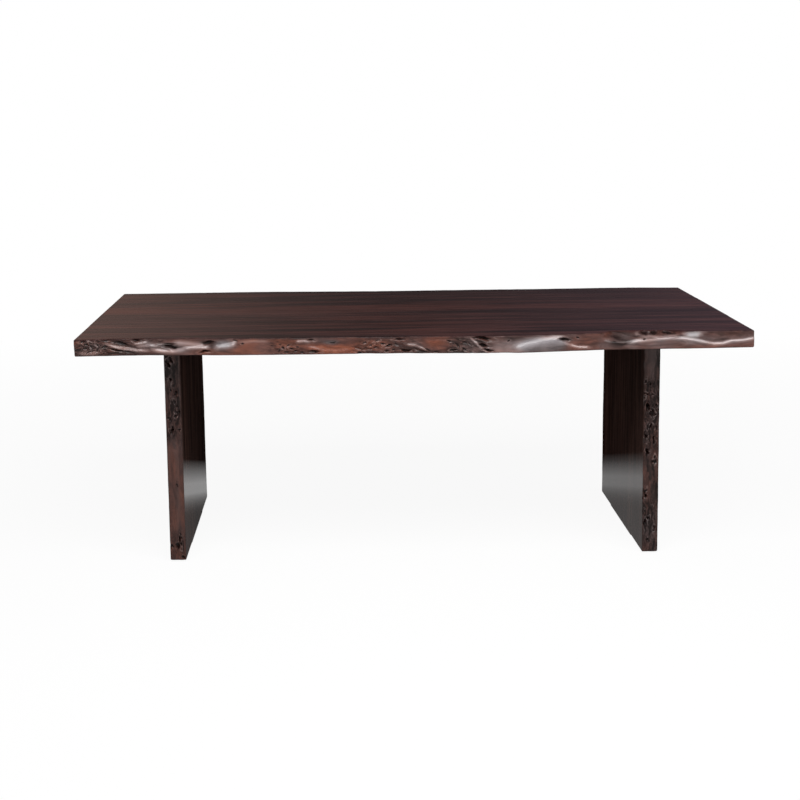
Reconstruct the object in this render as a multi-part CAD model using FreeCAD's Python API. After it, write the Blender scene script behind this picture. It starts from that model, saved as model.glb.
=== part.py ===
"""Live edge dining table: a thick plank top on two plank legs, held by steel plates and bolts.

Frame: +X along the table's length, +Y from the front live edge to the rear one, +Z up.
The origin is on the floor, under the middle of the table's bounding box. Units are millimetres.
"""

import FreeCAD
import Part
import math
import os

from FreeCAD import Vector

# Whole table
TABLE_LENGTH = 2134.0
TABLE_WIDTH = 1092.0
TABLE_HEIGHT = 762.0
TOP_THICKNESS = 54.0
LEG_WIDTH = 760.0
LEG_THICKNESS = 52.0
END_OVERHANG = 263.0
LEG_FORWARD = 30.0

# Boards that are edge-glued into the top and into each leg
TOP_LIVE_BOARD_WIDTH = 330.0
TOP_INNER_BOARD_COUNT = 2
LEG_LIVE_BOARD_WIDTH = 200.0
LEG_INNER_BOARD_COUNT = 2
ARRIS_EASE = 2.0
CUT_OVERRUN = 30.0

# Live edges: how far each one wanders in from its widest place, and how far it swells in the middle
TOP_EDGE_WANDER = 80.0
TOP_EDGE_SWELL = 10.0
LEG_EDGE_WANDER = 60.0
LEG_EDGE_SWELL = 6.0
ALONG_DEGREE = 3
ACROSS_DEGREE = 2

# Live edges of the top, left to right: 0 is the widest place, 1 is a full wander in from it
TOP_FRONT_UPPER_SHARES = (0.30, 1.00, 0.74, 0.41, 0.21, 0.24, 0.32, 0.21, 0.00, 0.52, 0.84, 0.66, 0.52)
TOP_FRONT_LOWER_SHARES = (0.78, 0.48, 0.49, 0.30, 0.50, 0.40, 0.21, 0.00, 0.13, 0.29, 0.17, 0.25, 0.60)
TOP_FRONT_SWELL_SHARES = (0.4, 0.8, 0.3, 0.6, 0.9, 0.2, 0.5, 0.7, 0.4, 0.9, 0.3, 1.0, 0.6)
TOP_REAR_UPPER_SHARES = (0.02, 0.11, 0.03, 0.08, 0.14, 0.31, 0.50, 0.31, 0.41, 0.56, 0.22, 0.44, 0.70)
TOP_REAR_LOWER_SHARES = (0.30, 0.12, 0.24, 0.08, 0.30, 0.44, 0.30, 0.50, 0.34, 0.38, 0.44, 0.30, 0.55)
TOP_REAR_SWELL_SHARES = (0.6, 0.2, 0.8, 0.5, 0.9, 0.3, 0.6, 1.0, 0.4, 0.7, 0.5, 0.8, 0.3)

# Live edges of the legs, floor to top, along the outer and the inner corner of each leg
LEFT_FRONT_OUTER_SHARES = (0.46, 0.43, 0.50, 0.44, 0.50, 0.40, 0.46, 0.38, 0.36)
LEFT_FRONT_INNER_SHARES = (0.08, 0.11, 0.21, 0.24, 0.34, 0.38, 0.48, 0.50, 0.52)
LEFT_REAR_OUTER_SHARES = (0.24, 0.30, 0.38, 0.30, 0.24, 0.32, 0.38, 0.46, 0.42)
LEFT_REAR_INNER_SHARES = (0.12, 0.10, 0.20, 0.18, 0.16, 0.26, 0.34, 0.42, 0.40)
RIGHT_FRONT_OUTER_SHARES = (0.32, 0.38, 0.40, 0.52, 0.60, 0.60, 0.72, 0.74, 0.80)
RIGHT_FRONT_INNER_SHARES = (0.34, 0.38, 0.48, 0.50, 0.60, 0.68, 0.70, 0.78, 0.82)
RIGHT_REAR_OUTER_SHARES = (0.40, 0.36, 0.28, 0.22, 0.25, 0.30, 0.28, 0.22, 0.20)
RIGHT_REAR_INNER_SHARES = (0.44, 0.42, 0.34, 0.28, 0.24, 0.28, 0.26, 0.22, 0.18)
LEG_SWELL_SHARES = (0.5, 0.9, 0.3, 0.7, 1.0, 0.4, 0.8, 0.3, 0.6)

# Beech dowels across the glue lines
DOWEL_DIAMETER = 12.0
DOWEL_LENGTH = 80.0
DOWEL_CHAMFER = 1.5
DOWEL_CLEARANCE = 0.1
DOWEL_GLUE_ROOM = 1.0
TOP_DOWEL_COUNT = 8
TOP_DOWEL_END_MARGIN = 120.0
TOP_DOWEL_HEIGHT_SHARE = 0.66
LEG_DOWEL_COUNT = 4
LEG_DOWEL_END_MARGIN = 150.0

# Steel mounting plate on the top end of each leg, let into the underside of the top
PLATE_LENGTH = 600.0
PLATE_FLANGE = 39.0
PLATE_THICKNESS = 6.0
PLATE_CORNER = 10.0
PLATE_CLEARANCE = 0.3
PLATE_SLOT_WIDTH = 9.0
PLATE_SLOT_LENGTH = 18.0

# Wood screws that hold a plate down on its leg
LEG_SCREW_COUNT = 4
LEG_SCREW_END_MARGIN = 60.0
LEG_SCREW_DIAMETER = 8.0
LEG_SCREW_LENGTH = 90.0
LEG_SCREW_HEAD_DIAMETER = 15.0
LEG_SCREW_HEAD_HEIGHT = 4.5
LEG_SCREW_POINT = 10.0
SCREW_CLEARANCE = 0.1

# Bolts, washers and threaded inserts that hold a plate up to the top
BOLT_COUNT_PER_FLANGE = 4
BOLT_END_MARGIN = 40.0
BOLT_DIAMETER = 8.0
BOLT_LENGTH = 20.0
BOLT_HEAD_ACROSS_FLATS = 13.0
BOLT_HEAD_HEIGHT = 5.3
WASHER_DIAMETER = 22.0
WASHER_THICKNESS = 2.0
WASHER_CLEARANCE = 0.2
INSERT_DIAMETER = 12.0
INSERT_LENGTH = 15.0
INSERT_CLEARANCE = 0.1
INSERT_DEPTH_ROOM = 2.0
INSERT_LEAD = 0.5

# Steel channels let into the underside, which keep the top flat
CHANNEL_LENGTH = 800.0
CHANNEL_WIDTH = 38.0
CHANNEL_HEIGHT = 14.0
CHANNEL_WALL = 3.0
CHANNEL_CLEARANCE = 0.3
CHANNEL_SPACING = 500.0
CHANNEL_SCREW_COUNT = 5
CHANNEL_SCREW_END_MARGIN = 40.0
CHANNEL_SLOT_WIDTH = 6.8
CHANNEL_SLOT_LENGTH = 14.0
CHANNEL_SCREW_DIAMETER = 6.0
CHANNEL_SCREW_LENGTH = 16.0
CHANNEL_SCREW_HEAD_DIAMETER = 10.5
CHANNEL_SCREW_HEAD_HEIGHT = 3.3
HEAD_ROUND_SHARE = 0.7
CHANNEL_SCREW_SOCKET = 4.0
CHANNEL_SCREW_SOCKET_DEPTH = 2.0
CHANNEL_WASHER_DIAMETER = 15.0
CHANNEL_WASHER_THICKNESS = 1.6
CHANNEL_INSERT_DIAMETER = 9.0
CHANNEL_INSERT_LENGTH = 12.0

# Nylon glides nailed under the legs
GLIDE_COUNT = 4
GLIDE_END_MARGIN = 80.0
GLIDE_DIAMETER = 32.0
GLIDE_THICKNESS = 4.0
GLIDE_EASE = 1.0
NAIL_DIAMETER = 3.0
NAIL_LENGTH = 22.0
NAIL_HEAD_DIAMETER = 8.0
NAIL_HEAD_THICKNESS = 1.2
NAIL_HEAD_RECESS = 2.0
NAIL_CLEARANCE = 0.1

# Places that follow from the sizes above
UNDERSIDE = TABLE_HEIGHT - TOP_THICKNESS
LEG_CENTRE = TABLE_LENGTH / 2 - END_OVERHANG - LEG_THICKNESS / 2
LEG_MIDDLE = -LEG_FORWARD
PLATE_WIDTH = LEG_THICKNESS + 2 * PLATE_FLANGE
FLANGE_CENTRE = LEG_THICKNESS / 2 + PLATE_FLANGE / 2
PLATE_TOP = UNDERSIDE + PLATE_THICKNESS
X, Y, Z = Vector(1, 0, 0), Vector(0, 1, 0), Vector(0, 0, 1)
FRONT, REAR = -1, 1


def spread(count, length, margin):
    """Evenly spaced places, centred on zero, that keep a margin to both ends of a length."""
    reach = length / 2 - margin
    return [reach * (2 * i / (count - 1) - 1) for i in range(count)]


def cylinder(diameter, length, base, axis=Z):
    return Part.makeCylinder(diameter / 2, length, base, axis)


def box(low, high):
    size = high - low
    return Part.makeBox(size.x, size.y, size.z, low)


def rims_at(shape, level):
    """The circular edges of a shape that lie level at one height."""
    rounds = [e for e in shape.Edges if isinstance(e.Curve, Part.Circle)]
    return [e for e in rounds if math.isclose(e.Curve.Center.z, level)]


def slot_prism(length, width, height, base):
    """A round-ended slot along Y, rising from its centre at base."""
    straight = length - width
    middle = box(base - Vector(width / 2, straight / 2, 0), base + Vector(width / 2, straight / 2, height))
    ends = [cylinder(width, height, base + Vector(0, side * straight / 2, 0)) for side in (FRONT, REAR)]
    return middle.fuse(ends).removeSplitter()


def rounded_block(width, length, height, corner, base):
    """An upright block with rounded corners, centred over base."""
    block = box(base - Vector(width / 2, length / 2, 0), base + Vector(width / 2, length / 2, height))
    upright = [e for e in block.Edges if abs(e.tangentAt(e.FirstParameter).z) > math.cos(math.pi / 4)]
    return block.makeFillet(corner, upright)


def hexagon(across_flats, height, base):
    corner = across_flats / math.sqrt(3)
    points = [base + Vector(corner * math.cos(a), corner * math.sin(a), 0)
              for a in (math.pi * k / 3 for k in range(7))]
    return Part.Face(Part.makePolygon(points)).extrude(Z * height)


def glue_lines(width, live_width, inner_count):
    """Where the boards of a panel meet across its width, from front to rear."""
    first = -width / 2 + live_width
    step = -2 * first / inner_count
    return [first + step * i for i in range(inner_count + 1)]


# Live edges
def clamped_knots(pole_count, degree):
    """Knots and their multiplicities for a spline that ends on its first and last pole."""
    spans = pole_count - degree
    return list(range(spans + 1)), [degree + 1] + [1] * (spans - 1) + [degree + 1]


def live_face(place, length, thick, half_width, wander, swell, near, far, swells, side):
    """A spline surface led by the wandering corners of a live edge, carried on past ends and faces.

    near and far are the two corners' shares, and place puts a point given along, across and out.
    The surface stays inside its poles, so no live edge passes the panel's nominal width.
    """
    whole, deep = length + 2 * CUT_OVERRUN, thick + 2 * CUT_OVERRUN
    poles = []
    for i, (a, b, s) in enumerate(zip(near, far, swells)):
        along = whole * (i / (len(near) - 1)) - CUT_OVERRUN
        middle = wander * (a + b) / 2 - swell * s
        insets = (wander * a, wander * a, max(middle, 0), wander * b, wander * b)
        acrosses = (-CUT_OVERRUN, 0, thick / 2, thick, deep - CUT_OVERRUN)
        poles.append([place(along, c, side * (half_width - inset)) for c, inset in zip(acrosses, insets)])
    along_knots, along_mults = clamped_knots(len(poles), ALONG_DEGREE)
    across_knots, across_mults = clamped_knots(len(poles[0]), ACROSS_DEGREE)
    surface = Part.BSplineSurface()
    surface.buildFromPolesMultsKnots(poles, along_mults, across_mults, along_knots, across_knots,
                                     False, False, ALONG_DEGREE, ACROSS_DEGREE)
    return surface.toShape()


def live_board(blank, face, width, side):
    """The part of a rectangular blank that lies behind the live face."""
    return face.extrude(Y * (-side * (width + CUT_OVERRUN))).common(blank).Solids[0]


# Cutters and fittings shared by the top and the legs
def dowel(centre):
    body = cylinder(DOWEL_DIAMETER, DOWEL_LENGTH, centre - Y * (DOWEL_LENGTH / 2), Y)
    return body.makeChamfer(DOWEL_CHAMFER, [e for e in body.Edges if isinstance(e.Curve, Part.Circle)])


def dowel_hole(centre):
    length = DOWEL_LENGTH + 2 * DOWEL_GLUE_ROOM
    return cylinder(DOWEL_DIAMETER + 2 * DOWEL_CLEARANCE, length, centre - Y * (length / 2), Y)


def threaded_insert(diameter, length, bore, mouth):
    """A sleeve whose mouth faces down, with a small lead at the bore."""
    sleeve = cylinder(diameter, length, mouth).cut(cylinder(bore, length, mouth))
    rim = [e for e in rims_at(sleeve, mouth.z) if math.isclose(e.Curve.Radius, bore / 2)]
    return sleeve.makeChamfer(INSERT_LEAD, rim)


def washer(diameter, thickness, bolt_diameter, top):
    base = top - Z * thickness
    return cylinder(diameter, thickness, base).cut(
        cylinder(bolt_diameter + 2 * WASHER_CLEARANCE, thickness, base))


# Top
def end_ease_cutters():
    """Wedges that ease the upper and lower corner of both sawn ends."""
    wedges = []
    for side in (-1, 1):
        end = side * TABLE_LENGTH / 2
        for level, inward in ((TABLE_HEIGHT, -1), (UNDERSIDE, 1)):
            corner = Vector(end, -TABLE_WIDTH / 2 - CUT_OVERRUN, level)
            points = [corner, corner - X * (side * ARRIS_EASE), corner + Z * (inward * ARRIS_EASE), corner]
            face = Part.Face(Part.makePolygon(points))
            wedges.append(face.extrude(Y * (TABLE_WIDTH + 2 * CUT_OVERRUN)))
    return wedges


def bolt_places(leg_x):
    """Bolt axes in both flanges of one plate, at the plate's underside."""
    return [Vector(leg_x + side * FLANGE_CENTRE, LEG_MIDDLE + y, UNDERSIDE)
            for side in (-1, 1) for y in spread(BOLT_COUNT_PER_FLANGE, PLATE_LENGTH, BOLT_END_MARGIN)]


def channel_places(channel_x):
    return [Vector(channel_x, y, UNDERSIDE)
            for y in spread(CHANNEL_SCREW_COUNT, CHANNEL_LENGTH, CHANNEL_SCREW_END_MARGIN)]


def channel_section(channel_x, growth):
    """A channel with its web at the underside and its flanges up, grown all round by a clearance."""
    half, reach = CHANNEL_WIDTH / 2 + growth, CHANNEL_LENGTH / 2 + growth
    web = box(Vector(channel_x - half, -reach, UNDERSIDE),
              Vector(channel_x + half, reach, UNDERSIDE + CHANNEL_WALL))
    flanges = []
    for side in (-1, 1):
        middle = channel_x + side * (CHANNEL_WIDTH - CHANNEL_WALL) / 2
        thick = CHANNEL_WALL / 2 + growth
        flanges.append(box(Vector(middle - thick, -reach, UNDERSIDE),
                           Vector(middle + thick, reach, UNDERSIDE + CHANNEL_HEIGHT + growth)))
    return web.fuse(flanges).removeSplitter()


def underside_cutters(channel_xs):
    """Plate pockets, channel grooves and insert holes in the underside of the top."""
    cutters = []
    insert_hole = INSERT_DIAMETER + 2 * INSERT_CLEARANCE
    for leg_x in (-LEG_CENTRE, LEG_CENTRE):
        cutters.append(rounded_block(PLATE_WIDTH + 2 * PLATE_CLEARANCE, PLATE_LENGTH + 2 * PLATE_CLEARANCE,
                                     PLATE_THICKNESS, PLATE_CORNER + PLATE_CLEARANCE,
                                     Vector(leg_x, LEG_MIDDLE, UNDERSIDE)))
        for place in bolt_places(leg_x):
            cutters.append(cylinder(insert_hole, PLATE_THICKNESS + INSERT_LENGTH + INSERT_DEPTH_ROOM, place))
    small_hole = CHANNEL_INSERT_DIAMETER + 2 * INSERT_CLEARANCE
    for channel_x in channel_xs:
        cutters.append(channel_section(channel_x, CHANNEL_CLEARANCE))
        for place in channel_places(channel_x):
            depth = CHANNEL_WALL + CHANNEL_INSERT_LENGTH + INSERT_DEPTH_ROOM
            cutters.append(cylinder(small_hole, depth, place))
    return cutters


def top_dowel_places():
    level = UNDERSIDE + TOP_THICKNESS * TOP_DOWEL_HEIGHT_SHARE
    return [Vector(x, y, level)
            for y in glue_lines(TABLE_WIDTH, TOP_LIVE_BOARD_WIDTH, TOP_INNER_BOARD_COUNT)
            for x in spread(TOP_DOWEL_COUNT, TABLE_LENGTH, TOP_DOWEL_END_MARGIN)]


def top_live_face(side, lower, upper, swells):
    def place(along, across, out):
        return Vector(along - TABLE_LENGTH / 2, out, UNDERSIDE + across)
    return live_face(place, TABLE_LENGTH, TOP_THICKNESS, TABLE_WIDTH / 2, TOP_EDGE_WANDER, TOP_EDGE_SWELL,
                     lower, upper, swells, side)


def top_boards(channel_xs):
    """The four boards of the top, from the front live edge to the rear one."""
    lines = glue_lines(TABLE_WIDTH, TOP_LIVE_BOARD_WIDTH, TOP_INNER_BOARD_COUNT)
    edges = [-TABLE_WIDTH / 2 - CUT_OVERRUN, *lines, TABLE_WIDTH / 2 + CUT_OVERRUN]
    blanks = [box(Vector(-TABLE_LENGTH / 2, a, UNDERSIDE), Vector(TABLE_LENGTH / 2, b, TABLE_HEIGHT))
              for a, b in zip(edges, edges[1:])]
    front_face = top_live_face(FRONT, TOP_FRONT_LOWER_SHARES, TOP_FRONT_UPPER_SHARES, TOP_FRONT_SWELL_SHARES)
    rear_face = top_live_face(REAR, TOP_REAR_LOWER_SHARES, TOP_REAR_UPPER_SHARES, TOP_REAR_SWELL_SHARES)
    blanks[0] = live_board(blanks[0], front_face, TOP_LIVE_BOARD_WIDTH, FRONT)
    blanks[-1] = live_board(blanks[-1], rear_face, TOP_LIVE_BOARD_WIDTH, REAR)
    cutters = end_ease_cutters() + underside_cutters(channel_xs) + [dowel_hole(p) for p in top_dowel_places()]
    names = ["top_front_live_edge_board", *[f"top_inner_board_{i + 1}" for i in range(TOP_INNER_BOARD_COUNT)],
             "top_rear_live_edge_board"]
    return {name: [blank.cut(cutters).Solids[0]] for name, blank in zip(names, blanks)}


def channel_bar(channel_x):
    bar = channel_section(channel_x, 0)
    slots = [slot_prism(CHANNEL_SLOT_LENGTH, CHANNEL_SLOT_WIDTH, CHANNEL_WALL, p)
             for p in channel_places(channel_x)]
    return bar.cut(slots).Solids[0]


def channel_screw(place):
    """A button-head screw with a hexagon socket, its head under the washer."""
    seat = place - Z * CHANNEL_WASHER_THICKNESS
    shank = cylinder(CHANNEL_SCREW_DIAMETER, CHANNEL_SCREW_LENGTH, seat)
    crown = seat - Z * CHANNEL_SCREW_HEAD_HEIGHT
    head = cylinder(CHANNEL_SCREW_HEAD_DIAMETER, CHANNEL_SCREW_HEAD_HEIGHT, crown)
    head = head.makeFillet(CHANNEL_SCREW_HEAD_HEIGHT * HEAD_ROUND_SHARE, rims_at(head, crown.z))
    socket = hexagon(CHANNEL_SCREW_SOCKET, CHANNEL_SCREW_SOCKET_DEPTH, crown)
    return shank.fuse(head).removeSplitter().cut(socket).Solids[0]


def channel_fittings(channel_xs):
    places = [p for x in channel_xs for p in channel_places(x)]
    bore = CHANNEL_SCREW_DIAMETER + 2 * SCREW_CLEARANCE
    washer_size = (CHANNEL_WASHER_DIAMETER, CHANNEL_WASHER_THICKNESS, CHANNEL_SCREW_DIAMETER)
    insert_size = (CHANNEL_INSERT_DIAMETER, CHANNEL_INSERT_LENGTH, bore)
    return {
        "channel_screws": [channel_screw(p) for p in places],
        "channel_washers": [washer(*washer_size, p) for p in places],
        "channel_inserts": [threaded_insert(*insert_size, p + Z * CHANNEL_WALL) for p in places],
    }


# Legs
def leg_screw_places(leg_x):
    """Screw axes at the upper face of the plate."""
    return [Vector(leg_x, LEG_MIDDLE + y, PLATE_TOP)
            for y in spread(LEG_SCREW_COUNT, PLATE_LENGTH, LEG_SCREW_END_MARGIN)]


def leg_screw(head_top, growth):
    """A countersunk wood screw pointing down, or with growth the hole that it runs in."""
    head = Part.makeCone(LEG_SCREW_DIAMETER / 2 + growth, LEG_SCREW_HEAD_DIAMETER / 2 + growth,
                         LEG_SCREW_HEAD_HEIGHT, head_top - Z * LEG_SCREW_HEAD_HEIGHT)
    point_base = head_top - Z * (LEG_SCREW_LENGTH - LEG_SCREW_POINT)
    shank = Part.makeCylinder(LEG_SCREW_DIAMETER / 2 + growth,
                              LEG_SCREW_LENGTH - LEG_SCREW_POINT - LEG_SCREW_HEAD_HEIGHT, point_base)
    point = Part.makeCone(LEG_SCREW_DIAMETER / 2 + growth, LEG_SCREW_DIAMETER / 8 + growth, LEG_SCREW_POINT,
                          point_base, -Z)
    return head.fuse([shank, point]).removeSplitter()


def leg_dowel_places(leg_x):
    leg_height = UNDERSIDE - GLIDE_THICKNESS
    return [Vector(leg_x, LEG_MIDDLE + y, GLIDE_THICKNESS + leg_height / 2 + z)
            for y in glue_lines(LEG_WIDTH, LEG_LIVE_BOARD_WIDTH, LEG_INNER_BOARD_COUNT)
            for z in spread(LEG_DOWEL_COUNT, leg_height, LEG_DOWEL_END_MARGIN)]


def glide_places(leg_x):
    return [Vector(leg_x, LEG_MIDDLE + y, 0) for y in spread(GLIDE_COUNT, LEG_WIDTH, GLIDE_END_MARGIN)]


def nail(place, growth):
    """A flat-head nail driven up through a glide, or with growth the hole that it fills."""
    seat = place + Z * NAIL_HEAD_RECESS
    shank = Part.makeCylinder(NAIL_DIAMETER / 2 + growth, NAIL_LENGTH + growth, seat)
    head = Part.makeCylinder(NAIL_HEAD_DIAMETER / 2 + growth, NAIL_HEAD_THICKNESS,
                             seat - Z * NAIL_HEAD_THICKNESS)
    return shank.fuse(head).removeSplitter()


def glide(place):
    pad = cylinder(GLIDE_DIAMETER, GLIDE_THICKNESS, place)
    recess = cylinder(NAIL_HEAD_DIAMETER + 2 * NAIL_CLEARANCE, NAIL_HEAD_RECESS, place)
    bore = cylinder(NAIL_DIAMETER + 2 * NAIL_CLEARANCE, GLIDE_THICKNESS, place)
    return pad.makeFillet(GLIDE_EASE, rims_at(pad, place.z)).cut([recess, bore]).Solids[0]


def leg_live_face(leg_x, side, outer, inner):
    """One live edge of a leg. The outer corner is the one away from the middle of the table."""
    low_x_is_outer = leg_x < 0
    near, far = (outer, inner) if low_x_is_outer else (inner, outer)

    def place(along, across, out):
        return Vector(leg_x - LEG_THICKNESS / 2 + across, LEG_MIDDLE + out, GLIDE_THICKNESS + along)
    return live_face(place, UNDERSIDE - GLIDE_THICKNESS, LEG_THICKNESS, LEG_WIDTH / 2, LEG_EDGE_WANDER,
                     LEG_EDGE_SWELL, near, far, LEG_SWELL_SHARES, side)


def leg_boards(name, leg_x, front_shares, rear_shares):
    lines = glue_lines(LEG_WIDTH, LEG_LIVE_BOARD_WIDTH, LEG_INNER_BOARD_COUNT)
    edges = [-LEG_WIDTH / 2 - CUT_OVERRUN, *lines, LEG_WIDTH / 2 + CUT_OVERRUN]
    half = LEG_THICKNESS / 2
    blanks = [box(Vector(leg_x - half, LEG_MIDDLE + a, GLIDE_THICKNESS),
                  Vector(leg_x + half, LEG_MIDDLE + b, UNDERSIDE))
              for a, b in zip(edges, edges[1:])]
    blanks[0] = live_board(blanks[0], leg_live_face(leg_x, FRONT, *front_shares), LEG_LIVE_BOARD_WIDTH, FRONT)
    blanks[-1] = live_board(blanks[-1], leg_live_face(leg_x, REAR, *rear_shares), LEG_LIVE_BOARD_WIDTH, REAR)
    cutters = [dowel_hole(p) for p in leg_dowel_places(leg_x)]
    cutters += [leg_screw(p, SCREW_CLEARANCE) for p in leg_screw_places(leg_x)]
    cutters += [nail(p, NAIL_CLEARANCE) for p in glide_places(leg_x)]
    names = [f"{name}_front_live_edge_board",
             *[f"{name}_inner_board_{i + 1}" for i in range(LEG_INNER_BOARD_COUNT)],
             f"{name}_rear_live_edge_board"]
    return {node: [blank.cut(cutters).Solids[0]] for node, blank in zip(names, blanks)}


def mounting_plate(leg_x):
    plate = rounded_block(PLATE_WIDTH, PLATE_LENGTH, PLATE_THICKNESS, PLATE_CORNER,
                          Vector(leg_x, LEG_MIDDLE, UNDERSIDE))
    slots = [slot_prism(PLATE_SLOT_LENGTH, PLATE_SLOT_WIDTH, PLATE_THICKNESS, p) for p in bolt_places(leg_x)]
    holes = [leg_screw(p, SCREW_CLEARANCE) for p in leg_screw_places(leg_x)]
    return plate.cut(slots + holes).Solids[0]


def mounting_bolt(place):
    seat = place - Z * WASHER_THICKNESS
    head = hexagon(BOLT_HEAD_ACROSS_FLATS, BOLT_HEAD_HEIGHT, seat - Z * BOLT_HEAD_HEIGHT)
    return head.fuse(cylinder(BOLT_DIAMETER, BOLT_LENGTH, seat)).removeSplitter().Solids[0]


def leg_fittings(name, leg_x):
    insert_size = (INSERT_DIAMETER, INSERT_LENGTH, BOLT_DIAMETER + 2 * SCREW_CLEARANCE)
    bolts = bolt_places(leg_x)
    return {
        f"{name}_dowels": [dowel(p) for p in leg_dowel_places(leg_x)],
        f"{name}_mounting_plate": [mounting_plate(leg_x)],
        f"{name}_plate_screws": [leg_screw(p, 0) for p in leg_screw_places(leg_x)],
        f"{name}_mounting_bolts": [mounting_bolt(p) for p in bolts],
        f"{name}_bolt_washers": [washer(WASHER_DIAMETER, WASHER_THICKNESS, BOLT_DIAMETER, p) for p in bolts],
        f"{name}_threaded_inserts": [threaded_insert(*insert_size, p + Z * PLATE_THICKNESS) for p in bolts],
        f"{name}_glides": [glide(p) for p in glide_places(leg_x)],
        f"{name}_glide_nails": [nail(p, 0) for p in glide_places(leg_x)],
    }


def build():
    """Every node's name and its solids."""
    channel_xs = (-CHANNEL_SPACING / 2, CHANNEL_SPACING / 2)
    nodes = top_boards(channel_xs)
    nodes["top_dowels"] = [dowel(p) for p in top_dowel_places()]
    nodes["left_stiffening_channel"] = [channel_bar(channel_xs[0])]
    nodes["right_stiffening_channel"] = [channel_bar(channel_xs[1])]
    nodes.update(channel_fittings(channel_xs))
    nodes.update(leg_boards("left_leg", -LEG_CENTRE, (LEFT_FRONT_OUTER_SHARES, LEFT_FRONT_INNER_SHARES),
                            (LEFT_REAR_OUTER_SHARES, LEFT_REAR_INNER_SHARES)))
    nodes.update(leg_boards("right_leg", LEG_CENTRE, (RIGHT_FRONT_OUTER_SHARES, RIGHT_FRONT_INNER_SHARES),
                            (RIGHT_REAR_OUTER_SHARES, RIGHT_REAR_INNER_SHARES)))
    nodes.update(leg_fittings("left_leg", -LEG_CENTRE))
    nodes.update(leg_fittings("right_leg", LEG_CENTRE))
    return nodes


def main():
    os.makedirs("parts", exist_ok=True)
    for name, shapes in build().items():
        solids = [solid for shape in shapes for solid in shape.Solids]
        node = solids[0] if len(solids) == 1 else Part.makeCompound(solids)
        node.exportStep(os.path.join("parts", f"{name}.step"))
        sound = len(solids) == len(shapes) and all(s.isValid() for s in solids)
        volume = sum(s.Volume for s in solids)
        print(f"{name}: solids {len(solids)}, volume {volume:.0f} mm3, sound {sound}")


if __name__ == "__main__":
    main()
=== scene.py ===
# %% [markdown]
# # A live edge dining table
# A thick slab top and two plank legs, all of dark stained wood. The long edges of the top and the
# upright edges of the legs keep the shape that grew under the bark: knots, pits, curls and ridges.
# The CAD model gives the boards and the fittings their places, and this file their surfaces. Six boards
# with live edges are modelled again here, because they need far more shape than the CAD boards carry.
#
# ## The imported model
# Sizes in this file are in metres, and the maps of the edges are in millimetres.

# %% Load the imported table
import math
import random

import bpy
import numpy as np
from mathutils import Matrix, Vector, noise


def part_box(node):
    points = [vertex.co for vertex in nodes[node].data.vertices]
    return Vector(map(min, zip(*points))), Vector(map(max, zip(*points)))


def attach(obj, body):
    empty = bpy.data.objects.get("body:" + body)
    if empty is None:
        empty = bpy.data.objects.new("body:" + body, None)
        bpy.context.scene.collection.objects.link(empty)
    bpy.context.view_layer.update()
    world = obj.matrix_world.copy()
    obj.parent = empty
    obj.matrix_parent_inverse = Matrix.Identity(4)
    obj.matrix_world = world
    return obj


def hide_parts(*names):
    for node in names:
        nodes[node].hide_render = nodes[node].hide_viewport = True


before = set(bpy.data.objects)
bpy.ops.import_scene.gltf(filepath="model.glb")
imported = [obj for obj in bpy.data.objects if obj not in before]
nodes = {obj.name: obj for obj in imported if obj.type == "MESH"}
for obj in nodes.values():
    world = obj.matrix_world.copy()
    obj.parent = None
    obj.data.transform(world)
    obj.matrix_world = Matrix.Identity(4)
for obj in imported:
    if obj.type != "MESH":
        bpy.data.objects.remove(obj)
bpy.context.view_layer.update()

MM = 0.001
print("nodes in the frame:", len(nodes))

# %% [markdown]
# ## Finding the places of the boards
# The sizes of the new boards come from the CAD boards they stand for. The top's live edges run along X
# and the legs' along Z, and all of them face front (-Y) or rear (+Y).

# %% Places taken from the frame
ALONG_X, OUTWARD, ALONG_Z = 0, 1, 2
FRONT, REAR = -1, 1
top_low, top_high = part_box("top_front_live_edge_board")
TOP_LENGTH = top_high.x - top_low.x
TOP_THICKNESS = top_high.z - top_low.z
leg_low, leg_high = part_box("left_leg_front_live_edge_board")
LEG_HEIGHT = leg_high.z - leg_low.z
LEG_THICKNESS = leg_high.x - leg_low.x
print("top", round(TOP_LENGTH, 3), "long,", round(TOP_THICKNESS, 3), "thick")
print("legs", round(LEG_HEIGHT, 3), "high,", round(LEG_THICKNESS, 3), "thick")

# %% [markdown]
# ## The camera
# The photograph was taken from a little left of the middle and about 1.5 m above the floor, looking
# slightly down. The table stands low in it, so the lens is shifted a little. sight turns a pixel of the
# photograph into a direction from the lens.

# %% Camera
CAMERA_PLACE = (-0.2259, -4.8234, 1.4988)
YAW, PITCH, ROLL = (math.radians(angle) for angle in (1.028, 9.851, -0.661))
LENS, SENSOR = 63.06, 36
SHIFT_RIGHT, SHIFT_UP = 0.04, -0.075
PHOTO_WIDTH = 800

forward = Vector((math.sin(YAW) * math.cos(PITCH), math.cos(YAW) * math.cos(PITCH), -math.sin(PITCH)))
level = Vector((math.cos(YAW), -math.sin(YAW), 0))
upright = level.cross(forward)
right = math.cos(ROLL) * level + math.sin(ROLL) * upright
up = math.cos(ROLL) * upright - math.sin(ROLL) * level
turn = Matrix((right, up, -forward)).transposed()

bpy.ops.object.camera_add(location=CAMERA_PLACE, rotation=turn.to_euler())
camera = bpy.context.object
camera.name = "photo_camera"
camera.data.lens = LENS
camera.data.sensor_width = SENSOR
camera.data.shift_x = SHIFT_RIGHT
camera.data.shift_y = SHIFT_UP
bpy.context.scene.camera = camera


def sight(px, py):
    """The direction from the lens through a pixel of the photograph."""
    spread_of_view = SENSOR / LENS
    rightward = (px / PHOTO_WIDTH - 0.5 + SHIFT_RIGHT) * spread_of_view
    downward = (py / PHOTO_WIDTH - 0.5 - SHIFT_UP) * spread_of_view
    return forward + rightward * right - downward * up


print("camera at", [round(v, 3) for v in camera.location])

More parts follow.
